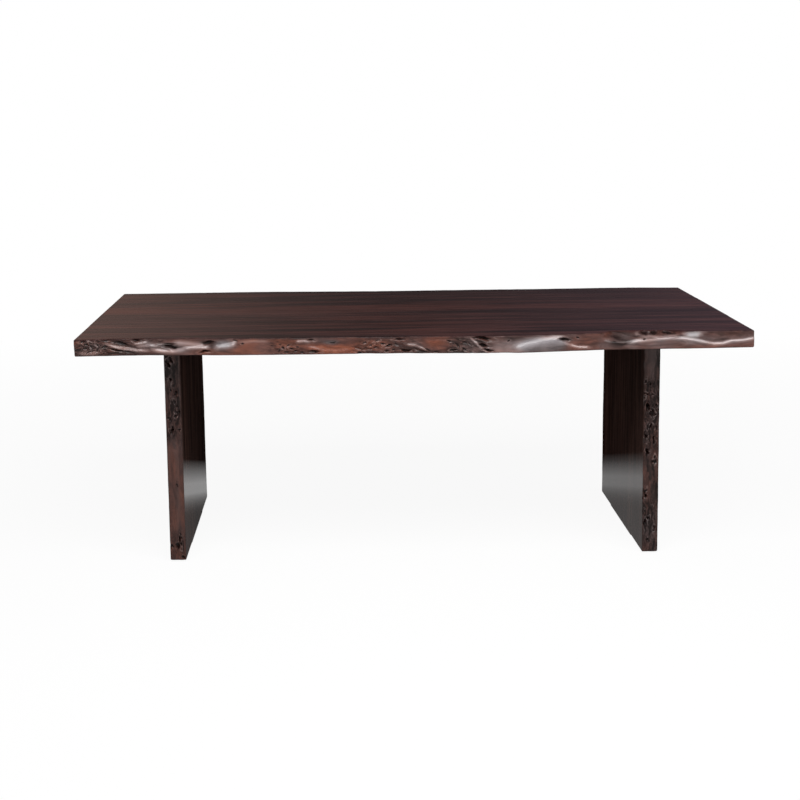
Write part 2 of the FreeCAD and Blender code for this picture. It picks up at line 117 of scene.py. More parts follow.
# %% [markdown]
# ## What is on a live edge
# Under the bark a trunk is not smooth. Dead twigs leave pits, the fibres flow round them in ridges, and
# strained wood swells into smooth crests. An edge is described the same way here, on a flat map of it:
# s runs along the edge and d across it from its upper (or left) arris, both in millimetres.
#
# - a pit is (s, d, half length, half width, tilt in degrees, depth)
# - a crest is (points (s, d) of its slope, height, width of that slope, fall past it, how far it calms
#   the fibres past it, and how strong the painted highlight on its brow is); a crest of negative height
#   is a groove, and its points are its bottom
# - a patch is (s, d, half length, half width, tone), where tone 1 is orange brown and -1 is grey
# - a shade is (s, d, half length, half width, depth), a place painted darker: partly dark stain that
#   has settled there, and partly painted shade
# - gnarl is how rough the fibres run, as points (s, 0 to 1), and fine is the scale of that roughness
# - set back is how far the upper arris stands behind the edge, as points (s, d where that ends, mm)

# %% Helpers for maps of an edge
NARROWEST = 4


def smooth_step(low, high, x):
    """0 below low and 1 above high, soft between them."""
    k = np.clip((x - low) / (high - low), 0, 1)
    return k * k * (3 - 2 * k)


def read_off(s, points, column=1):
    """A column of some points, read off at s."""
    return np.interp(s, [p[0] for p in points], [p[column] for p in points])


def spot(s, d, middle_s, middle_d, half_s, half_d):
    """1 at the middle of a patch or shade, fading outwards."""
    return np.exp(-((s - middle_s) / half_s) ** 2 - ((d - middle_d) / half_d) ** 2)


def layer(s, d, kind, seed, fine=1.0):
    """Noise from about -1 to 1. A kind is (length and width of its marks in mm, own seed, octaves)."""
    length, width, own_seed, octaves = kind
    places = zip((s / (length * fine)).ravel(), (d / max(width * fine, NARROWEST)).ravel())
    made = [noise.fractal((a, b, seed + own_seed), 1.0, 2.0, octaves) for a, b in places]
    return np.array(made).reshape(s.shape)


def soften(field, times):
    """Each cell becomes the mean of itself and its neighbours, that many times."""
    for _ in range(times):
        wide = np.pad(field, 1, mode="edge")
        field = (wide[:-2, 1:-1] + wide[2:, 1:-1] + wide[1:-1, :-2] + wide[1:-1, 2:] + field) / 5
    return field


print("map helpers ready")

# %% [markdown]
# ## Pits and crests
# A pit is an almond-shaped bowl, pointed along the fibres, with a raised lip. Its rim gets a painted
# highlight, and its inside a painted shadow that lies towards its upper side. A crest rises over a slope
# to a brow and falls away past it, and a painted highlight runs along the brow. Both are formulas of the
# distance from a point or a line, so one number moves or resizes them.

# %% Pits and crests
LIP_SHARE = 0.2
SHORTEST_FADE, LONGEST_FADE = 8, 45


def pit_reach(s, d, pit):
    """Distance from a pit's middle, 1 at its half length and half width."""
    middle_s, middle_d, half_s, half_d, tilt = pit[:5]
    c, n = math.cos(math.radians(tilt)), math.sin(math.radians(tilt))
    lengthwise = np.abs((s - middle_s) * c + (d - middle_d) * n) / half_s
    crosswise = np.abs((d - middle_d) * c - (s - middle_s) * n) / half_d
    return (lengthwise ** 1.35 + crosswise ** 1.6) ** 0.68


def pit_relief(s, d, pits, bumps):
    """The height that pits add in mm, the painted highlight on their rims and their painted shadow."""
    height, rim, dark = 0 * s, 0 * s, 0 * s
    for pit in pits:
        half_d, depth = pit[3], pit[5]
        reach = pit_reach(s, d, pit)
        bowl = 1 - smooth_step(0.2, 1.25, reach)
        lip = np.exp(-((reach - 1.5) / 0.4) ** 2) * np.clip(0.5 + bumps, 0, 1.5)
        height = height - depth * bowl + LIP_SHARE * depth * lip
        # painted highlight on the pit's rim
        pale_highlight = np.exp(-((reach - 1.35) / 0.22) ** 2) * np.clip(0.3 + bumps, 0, 1)
        rim = np.maximum(rim, pale_highlight)
        # painted shadow inside the pit, shifted towards its upper side
        shadow = pit_reach(s, d + 0.2 * half_d, pit)
        dark = np.maximum(dark, 1 - smooth_step(0.5, 1.2, shadow))
    return height, rim, dark


def crest_shape(s, d, crest):
    """How far up a crest each point is, 0 to 1, how far past its brow in mm, and 1 where it runs."""
    points, lift, bevel, fall = crest[:4]
    past = d - read_off(s, points) - (bevel / 2 if lift > 0 else 0)
    shape = np.where(past < 0, smooth_step(-bevel, 0, past), np.exp(-(past / fall) ** 2))
    first, last = points[0][0], points[-1][0]
    fade = min(max(0.3 * (last - first), SHORTEST_FADE), LONGEST_FADE)
    begun = smooth_step(first - 0.4 * fade, first + 0.6 * fade, s)
    ended = smooth_step(last - 0.6 * fade, last + 0.4 * fade, s)
    runs = begun * (1 - ended)
    return shape * runs, past, runs


def crest_relief(s, d, crests):
    """The height that crests add in mm, the roughness that they leave and the painted highlight on their
    brows.
    """
    height, rough, painted_highlight = 0 * s, 1 + 0 * s, 0 * s
    for crest in crests:
        _, lift, bevel, _, calm, highlight_share = crest
        shape, past, runs = crest_shape(s, d, crest)
        height = height + lift * shape
        rough = rough * (1 - calm * runs * smooth_step(-0.8 * bevel, 0, past))
        # painted highlight along the crest's brow
        brow = np.exp(-((past + 0.4 * bevel) / (0.6 * bevel)) ** 2)
        painted_highlight = np.maximum(painted_highlight, highlight_share * runs * brow)
    return height, rough, painted_highlight


print("pits and crests ready")

# %% [markdown]
# ## The relief of an edge
# Between pits and crests the fibres make ridges, lumps and thin dark veins. They are layers of noise
# drawn out along the fibres, which bend round each pit. Dark stain settles where the wood is rough, the
# shades are partly stain and partly painted shade, and recesses get painted shade. Where a highlight is
# painted, the stain and the shades thin out.

# %% Relief of an edge
BEND_ALONG, BEND_ACROSS = (34, 20, 40.5, 3), (30, 18, 47.1, 3)
DRIFT, SWELL = (70, 40, 71.7, 2), (120, 60, 23.9, 2)
FIBRES, RIDGES, LUMPS = (120, 9, 3.7, 2), (110, 15, 15.2, 1), (60, 24, 11.3, 1)
VEINS, HAIR_VEINS = (70, 8, 91.7, 2), (40, 5.5, 97.1, 1)
STAIN, TONE = (75, 11, 83.3, 2), (90, 30, 61.1, 3)
SWELL_HEIGHT, RIDGE_HEIGHT, FIBRE_HEIGHT, LUMP_HEIGHT, VEIN_DEPTH = 1.4, 2.1, 1.2, 3.4, 0.9
CALM_FIBRE_HEIGHT = 0.2
# strength of the painted highlight on pit rims
RIM_HIGHLIGHT = 0.36
ALONG_BEND, ACROSS_BEND, FLOW_DRIFT = 9, 5, 7


def fibre_flow(s, d, edge, seed):
    """The map bent a little, and lines that flow along the fibres and round the pits."""
    fine = edge["fine"]
    bent_s = s + ALONG_BEND * layer(s, d, BEND_ALONG, seed, fine)
    bent_d = d + ACROSS_BEND * layer(s, d, BEND_ACROSS, seed, fine)
    flow = bent_d + FLOW_DRIFT * layer(s, d, DRIFT, seed)
    for pit in edge["pits"]:
        flow = flow - 0.8 * (bent_d - pit[1]) * np.exp(-0.45 * pit_reach(s, d, pit) ** 2)
    return bent_s, bent_d, flow


def vein_lines(s, flow, seed, fine):
    """1 on the dark veins, which lie where two layers of noise pass through nothing."""
    wide = np.abs(layer(s, flow, VEINS, seed, fine))
    thin = np.abs(layer(s, flow, HAIR_VEINS, seed, fine))
    return np.maximum(1 - smooth_step(0.02, 0.17, wide), 0.8 - 0.8 * smooth_step(0.02, 0.14, thin))


def edge_relief(s, d, edge, seed):
    """Outward height in mm, dark stain with painted shade (0 to 1), the tone (-1 to 1) and the painted
    highlight (0 to 1) of an edge.
    """
    fine = edge["fine"]
    raised, left_rough, painted_highlight = crest_relief(s, d, edge["crests"])
    rough = read_off(s, edge["gnarl"]) * left_rough
    bent_s, bent_d, flow = fibre_flow(s, d, edge, seed)
    fibres = layer(bent_s, flow, FIBRES, seed, fine)
    lumps = layer(bent_s, bent_d, LUMPS, seed, fine)
    ridges = 0.7 - 2.4 * np.abs(layer(bent_s, flow, RIDGES, seed, fine))
    veins = vein_lines(bent_s, flow, seed, fine)
    growth = RIDGE_HEIGHT * ridges + FIBRE_HEIGHT * fibres + LUMP_HEIGHT * lumps - VEIN_DEPTH * veins
    height = SWELL_HEIGHT * layer(s, d, SWELL, seed) + CALM_FIBRE_HEIGHT * fibres
    sunk, rim, dark = pit_relief(bent_s, bent_d, edge["pits"], fibres + lumps)
    height = soften(height + rough * fine * growth + raised + sunk, 2)
    # painted highlights: on crest brows and on pit rims
    painted_highlight = np.maximum(painted_highlight, RIM_HIGHLIGHT / fine * rim)

    stain = smooth_step(-0.35, 0.45, layer(bent_s, flow, STAIN, seed, fine))
    settled_and_shaded = rough * np.maximum(0.12 + 0.6 * stain, 0.85 * veins)
    # the shades: partly dark stain, partly painted shade
    for *place, depth in edge["shades"]:
        settled_and_shaded = settled_and_shaded + depth * (0.45 + 0.9 * stain) * spot(s, d, *place)
    # painted shade in recesses, where the surface lies below its softened self
    cavity_shade = smooth_step(1.5, 5, soften(height, 45) - height)
    settled_and_shaded = np.minimum(settled_and_shaded, 0.9) * (1 - 0.85 * painted_highlight)
    # dark stain together with painted shade: the pits' painted shadow, recesses and shades
    stain_and_shade = np.maximum(np.maximum(0.95 * dark, cavity_shade), settled_and_shaded)

    tone = 0.35 * layer(s, d, TONE, seed)
    for *place, strength in edge["patches"]:
        tone = tone + strength * spot(s, d, *place)
    back = read_off(s, edge["set_back"], 2) * np.clip(1 - d / read_off(s, edge["set_back"]), 0, 1)
    return height - soften(back, 4), stain_and_shade, np.clip(tone, -1, 1), painted_highlight * (1 - dark)


print("edge relief ready")

# %% [markdown]
# ## The front edge of the top
# This edge faces the viewer, so its features are noted in pixels of the photograph, as they were
# seen. The line of sight through a pixel says how far along the edge it lies, and the two arrises say
# how far across.

# %% From the photograph to the front edge
# the edge lies about this far behind the foremost point of its board
EDGE_WANDER = 0.03
# millimetres to a pixel, and the row of pixels at half the edge's height
PER_PIXEL, EDGE_ROW = 3.14, 345
upper_arris = (
    (77, 340.7), (133, 337.2), (263, 337.9), (393, 335.5), (512, 334.8), (554, 333.2), (638, 329.2),
    (690, 328.5), (755, 328.0))
lower_arris = (
    (76, 356.2), (202, 355.6), (316, 353.1), (480, 352.7), (582, 349.3), (690, 347.8), (758, 344.7))


def along_edge(px):
    """How far along the front edge a column of the photograph lies, in mm."""
    look = sight(px, EDGE_ROW)
    reach = (top_low.y + EDGE_WANDER - camera.location.y) / look.y
    return (camera.location.x + reach * look.x - top_low.x) / MM


def on_edge(px, py):
    """A pixel on the front edge as (s, d) in mm."""
    high, low = read_off(px, upper_arris), read_off(px, lower_arris)
    return along_edge(px), (py - high) / (low - high) * TOP_THICKNESS / MM


def seen_spot(px, py, half_x, half_y, *rest):
    """A pit, patch or shade that is noted in pixels."""
    return *on_edge(px, py), half_x * PER_PIXEL, half_y * PER_PIXEL, *rest


def seen_crest(points, lift, bevel, fall, calm=0.0, highlight_share=0.0):
    """A crest or groove whose points are noted in pixels."""
    return [on_edge(*p) for p in points], lift, bevel, fall, calm, highlight_share


print("a pixel is about", PER_PIXEL, "mm on the front edge")

# %% [markdown]
# ## Pits and crests of the front edge
# From left to right: a curled knot, long slits, deep eyes between pale crests, a calm run, a peppered
# knot, an orange run, a second peppered knot, a rough knot, three deep pits in a slanting row, the
# large grey crest with its eye, and the ledge that runs to the right end.

# %% Pits and crests noted in the photograph
pits_in_photo = (
    (82, 342.6, 4, 1.4, 5, 5), (91, 343.2, 5, 0.9, 30, 4), (96, 346.2, 4, 0.9, 62, 4),
    (95.5, 350, 4, 0.9, -60, 4), (90, 351.6, 5, 0.9, -20, 4), (86, 345.6, 4, 0.9, 25, 4),
    (90.5, 347.6, 3.5, 0.8, 70, 3), (85.5, 349.2, 4.5, 0.9, -12, 4), (104, 347.5, 5, 1.4, -10, 5),
    (107, 340.6, 7, 1.1, 5, 4), (119, 343.2, 11, 1.4, 12, 5), (115, 350, 8, 1.3, 12, 5),
    (128, 352.6, 7, 1.2, 6, 4), (137.5, 339.6, 6, 1.8, 0, 8), (169, 346.8, 10.5, 1.6, 3, 9),
    (168, 343.6, 8, 1.4, -4, 6), (209.5, 342.6, 7.5, 1.9, -3, 9), (204.5, 351.8, 6.5, 1.8, -6, 7),
    (241, 342.4, 2, 0.9, 0, 3), (235.6, 339.8, 2.2, 0.9, 0, 3), (273.5, 345.5, 2.6, 0.8, 15, 3),
    (277.5, 349.5, 2.8, 0.9, -20, 3), (279.5, 344.2, 2.4, 0.8, -10, 3), (282.5, 347, 3, 0.9, 22, 4),
    (286.5, 350.4, 3, 0.9, -12, 3), (288, 344.6, 3, 0.9, -24, 4), (292, 347.6, 3.4, 1.2, 16, 5),
    (296, 350.4, 3, 0.9, -15, 4), (297.5, 345.4, 2.6, 0.8, 26, 3), (302, 351.2, 3.4, 0.9, 4, 4),
    (281, 352.6, 2.8, 0.8, 8, 3), (311, 339.8, 4, 1.3, 0, 6), (313.5, 350.4, 7.5, 1.7, 4, 7),
    (331.5, 341.8, 3, 1, 0, 2), (366, 341.4, 3, 0.9, -24, 3), (371.5, 344, 3.2, 0.9, -16, 4),
    (376, 347, 3, 0.9, 12, 4), (377.5, 340, 3, 0.9, -14, 4), (365, 346.6, 2.8, 0.8, 14, 3),
    (381.5, 342.6, 2.8, 0.9, 20, 4), (359, 352, 4, 1, 10, 3), (387.5, 345.4, 4.8, 1.5, -14, 6),
    (400, 338.2, 7.5, 1.4, 4, 7), (385, 350.2, 3.8, 1.1, -10, 5), (406.5, 349.8, 6.5, 1.8, 5, 8),
    (396, 343, 3.2, 1, 24, 4), (394.5, 348.4, 3.2, 0.9, -18, 4), (428, 349.8, 6, 1.1, 18, 5),
    (437, 351.6, 6, 1, 4, 5), (450, 340.5, 3.5, 1.4, 30, 5), (456, 344.6, 4, 1.3, 45, 5),
    (463, 341, 3.5, 1.2, 35, 5), (453, 349.8, 4.5, 1.5, 0, 6), (464, 348, 4, 1.4, 30, 5),
    (470, 351.6, 4, 1.1, 10, 4), (468, 343, 3.5, 1.1, 50, 4), (482, 337.9, 10, 2.4, 8, 10),
    (482, 344.4, 7, 2.2, 12, 10), (487, 350, 6.5, 1.8, 14, 9), (509, 340, 1.6, 0.9, 0, 3),
    (562, 338, 6.5, 2.3, 6, 10), (578, 336.2, 3.5, 1.1, 12, 4), (643.5, 338.2, 3, 1, 0, 5),
    (645, 331.6, 6, 2.3, 4, 9), (655, 331.6, 5, 2.2, -14, 9), (667, 331.6, 6.5, 2.3, 8, 9))
crests_in_photo = (
    ([(86, 341), (92, 343), (97, 347)], 3, 6, 4, 0, 0.4),
    ([(78, 352.4), (88, 353), (98, 352)], 3.5, 8, 5, 0.7, 0.4),
    ([(78, 355.2), (90, 355.6), (100, 354.8)], -3, 3, 3),
    ([(104, 344), (122, 347.6), (136, 349.6), (148, 350)], 4.5, 8, 6, 0.2, 0.7),
    ([(133, 342.6), (140, 342), (147, 340.6)], 4, 7, 6, 0, 0.6),
    ([(151, 348.6), (162, 350.2), (172, 350.7), (180, 349.4), (187, 346.8)], 6, 10, 10, 0.6, 1.0),
    ([(174, 341.6), (188, 342.6), (204, 345)], 2.5, 12, 16, 0.3, 0.8),
    ([(136, 345), (148, 344), (158, 344.8)], 3, 9, 8, 0.3, 0.6),
    ([(183, 347.4), (192, 346.6), (200, 346.2), (209, 346.6)], 5, 9, 9, 0.5, 0.9),
    ([(214, 346.4), (222, 344.8), (229, 344), (236, 342)], 8, 15, 14, 0.9, 0.8),
    ([(238, 341.6), (254, 340.4), (268, 340.6)], 2, 8, 30, 0.5, 0.3),
    ([(296, 340.8), (303, 340), (310, 340.6)], 4, 8, 8, 0.3, 0.5),
    ([(306, 345), (315, 346.6), (322, 348.4), (336, 349.2), (351, 347.4)], 3, 9, 12, 0.7, 0.1),
    ([(354, 346), (362, 348.6), (374, 348)], -5, 4, 5),
    ([(352, 350.5), (364, 352), (377, 351.4)], -4, 4, 4),
    ([(406, 343.2), (415, 344.2), (421, 346.4), (427, 349.4)], 3, 6, 4, 0, 0.4),
    ([(413, 347.6), (422, 350.6), (433, 352)], -5, 4, 4),
    ([(424, 339.6), (436, 338.6), (448, 340)], 2, 8, 16, 0.6, 0),
    ([(469, 336), (474, 340.5), (478, 344), (483, 348.6), (489, 351.6)], 4, 7, 4, 0, 0.7),
    ([(492, 349), (506, 348), (522, 347)], 1.5, 34, 30, 0.4, 0.45),
    ([(511, 346), (518, 344.4), (526, 342), (536, 339.4), (546, 337.6), (556, 336.6), (566, 337)],
     9, 24, 34, 0.95, 1.0),
    ([(560, 339.8), (568, 342.6), (577, 345), (590, 345.6)], 4, 7, 16, 0.6, 0.8),
    ([(630, 341), (636, 338.9), (643, 338.3), (657, 336.8), (671, 335.4), (686, 336), (700, 338.8),
      (714, 341.6), (723, 340.9), (731, 338.2), (743, 337.5), (759, 334.4)], 4.5, 8, 90, 1.0, 1.0),
    ([(640, 335), (650, 334), (660, 335), (670, 333.8), (679, 332.8)], 3, 5, 4, 0, 0.7),
    ([(683, 332), (692, 332.6), (703, 332)], 1, 9, 9, 0.9, 0.7))
print("front edge:", len(pits_in_photo), "pits,", len(crests_in_photo), "crests")

# %% [markdown]
# ## Colour and roughness of the front edge
# The wood's own colour changes along the edge, and so does how gnarled it is. Large soft spots are
# enough, because the fibres and the stain break them up.

# %% Patches, shades and gnarl noted in the photograph
patches_in_photo = (
    (90, 347, 14, 9, -0.2), (150, 347, 26, 6, -0.35), (225, 344, 10, 5, -0.8), (250, 347, 18, 8, 0.5),
    (204, 352, 12, 3, 0.5), (290, 345, 16, 7, 0.6), (318, 347, 12, 5, 0.7), (340, 349, 18, 5, 1.0),
    (331, 341.5, 8, 3, -0.7), (435, 341, 13, 5, 0.9), (376, 345, 22, 8, 0.35), (470, 346, 12, 6, -0.6),
    (532, 343, 28, 9, -1.0), (588, 339, 16, 6, 0.3), (625, 336, 14, 7, -0.5), (694, 331, 10, 4, -0.8),
    (732, 334, 26, 5, -0.3), (690, 340, 60, 5, -0.45), (190, 347, 24, 6, -0.4), (264, 345, 11, 6, -0.4),
    (418, 345, 9, 6, -0.35), (558, 343, 10, 6, -0.5), (604, 342, 10, 6, -0.5))
# shades: partly dark stain, partly painted shade
shades_in_photo = (
    (88, 346, 14, 7, 0.5), (110, 342, 16, 4, 0.6), (112, 350, 14, 5, 0.5), (169, 345, 11, 3, 0.5),
    (150, 354.6, 14, 1.6, 0.4), (588, 340, 14, 8, 0.35), (210, 342.5, 11, 3, 0.35),
    (285, 347, 14, 6, 0.05), (314, 350.6, 9, 2.6, 0.5), (368, 347, 14, 6, 0.15), (402, 345, 16, 8, 0.05),
    (425, 350.4, 14, 2.4, 0.6), (460, 346, 13, 8, 0.5), (482, 344, 9, 9, 0.5), (622, 337, 12, 7, 1.1),
    (506, 337.6, 22, 2.4, 0.6), (334, 348, 20, 8, 0.15), (441, 346, 14, 8, 0.2), (658, 331.5, 20, 3, 0.8),
    (728, 333.6, 28, 5, 0.4), (240, 343.5, 6, 3.5, 0.3), (246, 352, 9, 2.4, 0.28))
gnarl_in_photo = (
    (77, 1), (150, 0.9), (180, 0.6), (200, 0.45), (222, 0.35), (236, 0.1), (262, 0.12), (278, 0.8),
    (302, 0.7), (314, 0.3), (350, 0.2), (360, 0.7), (414, 0.8), (426, 0.35), (444, 0.3), (452, 0.85),
    (472, 0.6), (488, 0.5), (496, 0.1), (550, 0.1), (572, 0.2), (604, 0.2), (614, 0.3), (634, 0.3),
    (642, 0.8), (676, 0.7), (686, 0.3), (757, 0.35))
set_back_in_photo = (
    (600, 341, 0), (613, 341, 34), (626, 340.6, 34), (636, 337.3, 32), (657, 335.2, 28), (671, 333.9, 28),
    (682, 334.2, 22), (690, 335.4, 13), (698, 337.4, 12), (711, 340, 0), (757, 333.4, 0))
front_edge = {
    "fine": 1.0,
    "set_back": [(*on_edge(px, py), back) for px, py, back in set_back_in_photo],
    "gnarl": [(along_edge(px), rough) for px, rough in gnarl_in_photo],
    "pits": [seen_spot(*row) for row in pits_in_photo],
    "crests": [seen_crest(*row) for row in crests_in_photo],
    "patches": [seen_spot(*row) for row in patches_in_photo],
    "shades": [seen_spot(*row) for row in shades_in_photo],
}
print("front edge:", len(patches_in_photo), "patches,", len(shades_in_photo), "shades")

# %% [markdown]
# ## The front edges of the legs
# The legs carry the same kind of edge, upright, gnarled above and calmer below. Their features are
# noted as shares: how far down the leg, and how far across it from the left arris. Each noted pit
# breaks up into a cluster of small ones by a seeded draw.

# %% Leg edge features
NO_SET_BACK = [(0, 1, 0)]
LEG_FINE = 0.55
LEG_CREST_CALM, LEG_CREST_HIGHLIGHT = 0.0, 0.08
PITS_IN_CLUSTER = 6


def ragged(pits, seed):
    """Each pit breaks up into a cluster of small ones."""
    draw = random.Random(seed)
    cluster = []
    for s, d, half_s, half_d, tilt, depth in pits:
        for _ in range(PITS_IN_CLUSTER):
            middle = (s + draw.gauss(0, 0.55) * half_s, d + draw.gauss(0, 0.6) * half_d)
            size = (half_s * draw.uniform(0.4, 0.85), half_d * draw.uniform(0.35, 0.75))
            cluster.append((*middle, *size, tilt + draw.gauss(0, 22), depth * draw.uniform(0.5, 1)))
    return cluster


def on_leg(rows):
    """Rows that start with two shares of a leg, as (s, d) in mm."""
    return [(down * LEG_HEIGHT / MM, over * LEG_THICKNESS / MM, *rest) for down, over, *rest in rows]


def leg_edge(seed, gnarl, pits, crests, patches, shades):
    """The edge of a leg from features that are noted as shares of it."""
    return {
        "fine": LEG_FINE,
        "set_back": NO_SET_BACK,
        "gnarl": [(down * LEG_HEIGHT / MM, rough) for down, rough in gnarl],
        "pits": ragged(on_leg(pits), seed),
        "crests": [(on_leg(points), *rest, LEG_CREST_CALM, LEG_CREST_HIGHLIGHT) for points, *rest in crests],
        "patches": on_leg(patches),
        "shades": on_leg(shades),
    }


left_leg_edge = leg_edge(
    seed=3,
    gnarl=[(0, 0.5), (0.06, 0.9), (0.4, 0.8), (0.47, 0.15), (0.85, 0.2), (0.9, 0.8), (1, 0.6)],
    pits=[(0.07, 0.1, 8, 4, 0, 6), (0.075, 0.34, 13, 7, 10, 8), (0.145, 0.38, 8, 5, 0, 6),
          (0.19, 0.33, 8, 5, 0, 6), (0.2, 0.66, 14, 4, 20, 6), (0.24, 0.5, 8, 5, -10, 5),
          (0.29, 0.6, 13, 8, 0, 9), (0.33, 0.25, 8, 4, 0, 5), (0.37, 0.3, 11, 5, 0, 7),
          (0.38, 0.88, 9, 4, 0, 6), (0.635, 0.6, 6, 3, 0, 3), (0.91, 0.66, 18, 7, 8, 8),
          (0.94, 0.14, 12, 4, 0, 6), (0.985, 0.8, 7, 5, 0, 5)],
    crests=[([(0, 0.93), (0.2, 0.9), (0.42, 0.94)], 3, 5, 5),
            ([(0.42, 0.5), (0.6, 0.62), (0.86, 0.55)], 2, 16, 16)],
    patches=[(0.65, 0.5, 150, 40, 0.08), (0.2, 0.5, 120, 40, -0.2), (0.96, 0.2, 30, 30, 0.5)],
    shades=[(0.08, 0.4, 40, 25, 0.5), (0.27, 0.6, 60, 20, 0.55), (0.39, 0.4, 30, 25, 0.35),
            (0.92, 0.7, 25, 14, 0.5)])
right_leg_edge = leg_edge(
    seed=4,
    gnarl=[(0, 0.3), (0.16, 0.2), (0.19, 0.9), (0.5, 0.9), (0.55, 0.3), (0.7, 0.4), (0.76, 0.8), (1, 0.7)],
    pits=[(0.02, 0.73, 9, 6, 0, 4), (0.18, 0.12, 7, 4, 0, 5), (0.2, 0.35, 6, 4, 0, 5),
          (0.24, 0.14, 11, 7, 0, 8), (0.25, 0.55, 7, 4, 20, 5), (0.31, 0.28, 11, 7, 0, 8),
          (0.34, 0.52, 11, 8, -10, 7), (0.3, 0.82, 8, 4, 0, 5), (0.405, 0.4, 14, 6, 0, 8),
          (0.41, 0.86, 9, 4, 0, 6), (0.455, 0.14, 15, 5, 0, 7), (0.47, 0.6, 9, 5, 15, 6),
          (0.52, 0.3, 8, 9, 30, 5), (0.56, 0.73, 11, 6, 0, 6), (0.715, 0.14, 12, 8, 0, 8),
          (0.785, 0.65, 7, 4, 0, 5), (0.8, 0.1, 8, 4, 0, 5), (0.85, 0.28, 17, 7, 0, 8),
          (0.885, 0.73, 9, 5, 0, 6), (0.94, 0.32, 8, 4, 0, 5)],
    crests=[([(0, 0.4), (0.1, 0.5), (0.17, 0.4)], 4, 14, 14),
            ([(0.56, 0.35), (0.66, 0.5), (0.76, 0.75)], 5, 10, 9)],
    patches=[(0.08, 0.5, 60, 40, -0.2), (0.35, 0.5, 110, 40, -0.25), (0.86, 0.5, 90, 40, -0.4)],
    shades=[(0.1, 0.9, 70, 16, 0.5), (0.34, 0.45, 110, 22, 0.6), (0.55, 0.2, 28, 10, 0.7),
            (0.61, 0.45, 30, 11, 0.9), (0.67, 0.7, 32, 11, 0.9), (0.72, 0.92, 30, 10, 0.8),
            (0.84, 0.4, 60, 25, 0.6), (0.96, 0.7, 30, 20, 0.3)])
print("leg edges:", len(left_leg_edge["pits"]), "and", len(right_leg_edge["pits"]), "pits")

# %% [markdown]
# ## The rear edges
# The rear can't be seen in the photograph. It grew on the same trees, so it gets the same kinds of
# feature by a seeded draw: clusters of pits in the gnarled runs and long crests in the calm ones.

# %% Rear edge features
REAR_FINE = 0.8
GNARLED_SHARE = 0.65


def drawn_edge(seed, length, width, clusters):
    """An edge whose features are drawn by chance, as (s, d) in mm."""
    draw = random.Random(seed)
    edge = {"fine": REAR_FINE, "set_back": NO_SET_BACK, "gnarl": [(0, 0.5)]}
    edge.update({kind: [] for kind in ("pits", "crests", "patches", "shades")})

    def middling():
        return width * draw.uniform(0.3, 0.7)

    for k in range(clusters):
        middle = length * (k + draw.uniform(0.3, 0.7)) / clusters
        span = 0.5 * length / clusters
        if draw.random() < GNARLED_SHARE:
            edge["gnarl"] += [(middle - 0.7 * span, 0.5), (middle, 0.9), (middle + 0.7 * span, 0.5)]
            edge["shades"].append((middle, middling(), 0.6 * span, 0.35 * width, draw.uniform(0.3, 0.6)))
            for _ in range(draw.randint(3, 5)):
                place = (middle + draw.uniform(-0.8, 0.8) * span, width * draw.uniform(0.12, 0.88))
                size = (draw.uniform(9, 24), draw.uniform(4, 7.5))
                edge["pits"].append((*place, *size, draw.uniform(-25, 25), draw.uniform(4, 9)))
        else:
            edge["gnarl"] += [(middle - 0.8 * span, 0.3), (middle, 0.1), (middle + 0.8 * span, 0.3)]
            line = [(middle + step * span, middling()) for step in (-1, 0, 1)]
            edge["crests"].append((line, 6, 11, 20, 0.6, 0.6))
        edge["patches"].append((middle, middling(), span, 0.5 * width, draw.uniform(-0.9, 0.9)))
    edge["gnarl"].sort()
    return edge


rear_edge = drawn_edge(5, TOP_LENGTH / MM, TOP_THICKNESS / MM, 15)
left_leg_rear_edge = drawn_edge(11, LEG_HEIGHT / MM, LEG_THICKNESS / MM, 6)
right_leg_rear_edge = drawn_edge(17, LEG_HEIGHT / MM, LEG_THICKNESS / MM, 6)
print("rear edge:", len(rear_edge["pits"]), "pits")

# %% [markdown]
# ## The sweep of an edge
# The CAD boards have the long waves of the edges. Rays cast on a CAD board from outside say how far
# out its live face stands at each place. The places lie closer together at the ends and arrises, where
# the board is rounded over.

# %% Measuring a CAD board
RAY_START = 3
END_INSET, ARRIS_INSET = 3 * MM, 0.3 * MM


def spread(length, step, fine):
    """Places from 0 to length about step apart, with the fine ones at both ends."""
    inner = length - 2 * fine[-1]
    middle = np.linspace(fine[-1], length - fine[-1], max(2, round(inner / step)) + 1)
    return np.concatenate([fine[:-1], middle, [length - f for f in reversed(fine[:-1])]])


def cad_edge(node, along, side, places, heights):
    """The CAD board's live face: how far out it stands at each place and height."""
    across = ALONG_X + ALONG_Z - along
    low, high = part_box(node.name)
    start, aim = Vector((0, RAY_START * side, 0)), Vector((0, -side, 0))
    face = []
    for place in np.clip(places, low[along] + END_INSET, high[along] - END_INSET):
        start[along] = place
        for height in np.clip(heights, low[across] + ARRIS_INSET, high[across] - ARRIS_INSET):
            start[across] = height
            face.append(node.ray_cast(start, aim)[1][OUTWARD])
    return np.reshape(face, (len(places), len(heights)))


print("rays start", RAY_START, "m out")

# %% [markdown]
# ## A sheet in the shape of the edge
# Each board starts as a flat grid, like a sheet of paper. Its middle rows become the live face, and
# the rows above and below are folded back over the arrises onto the flat faces. The map of the edge
# adds its relief to the sweep. Four marks are kept for the finish: live, dark stain with painted shade,
# tone, and painted highlight.

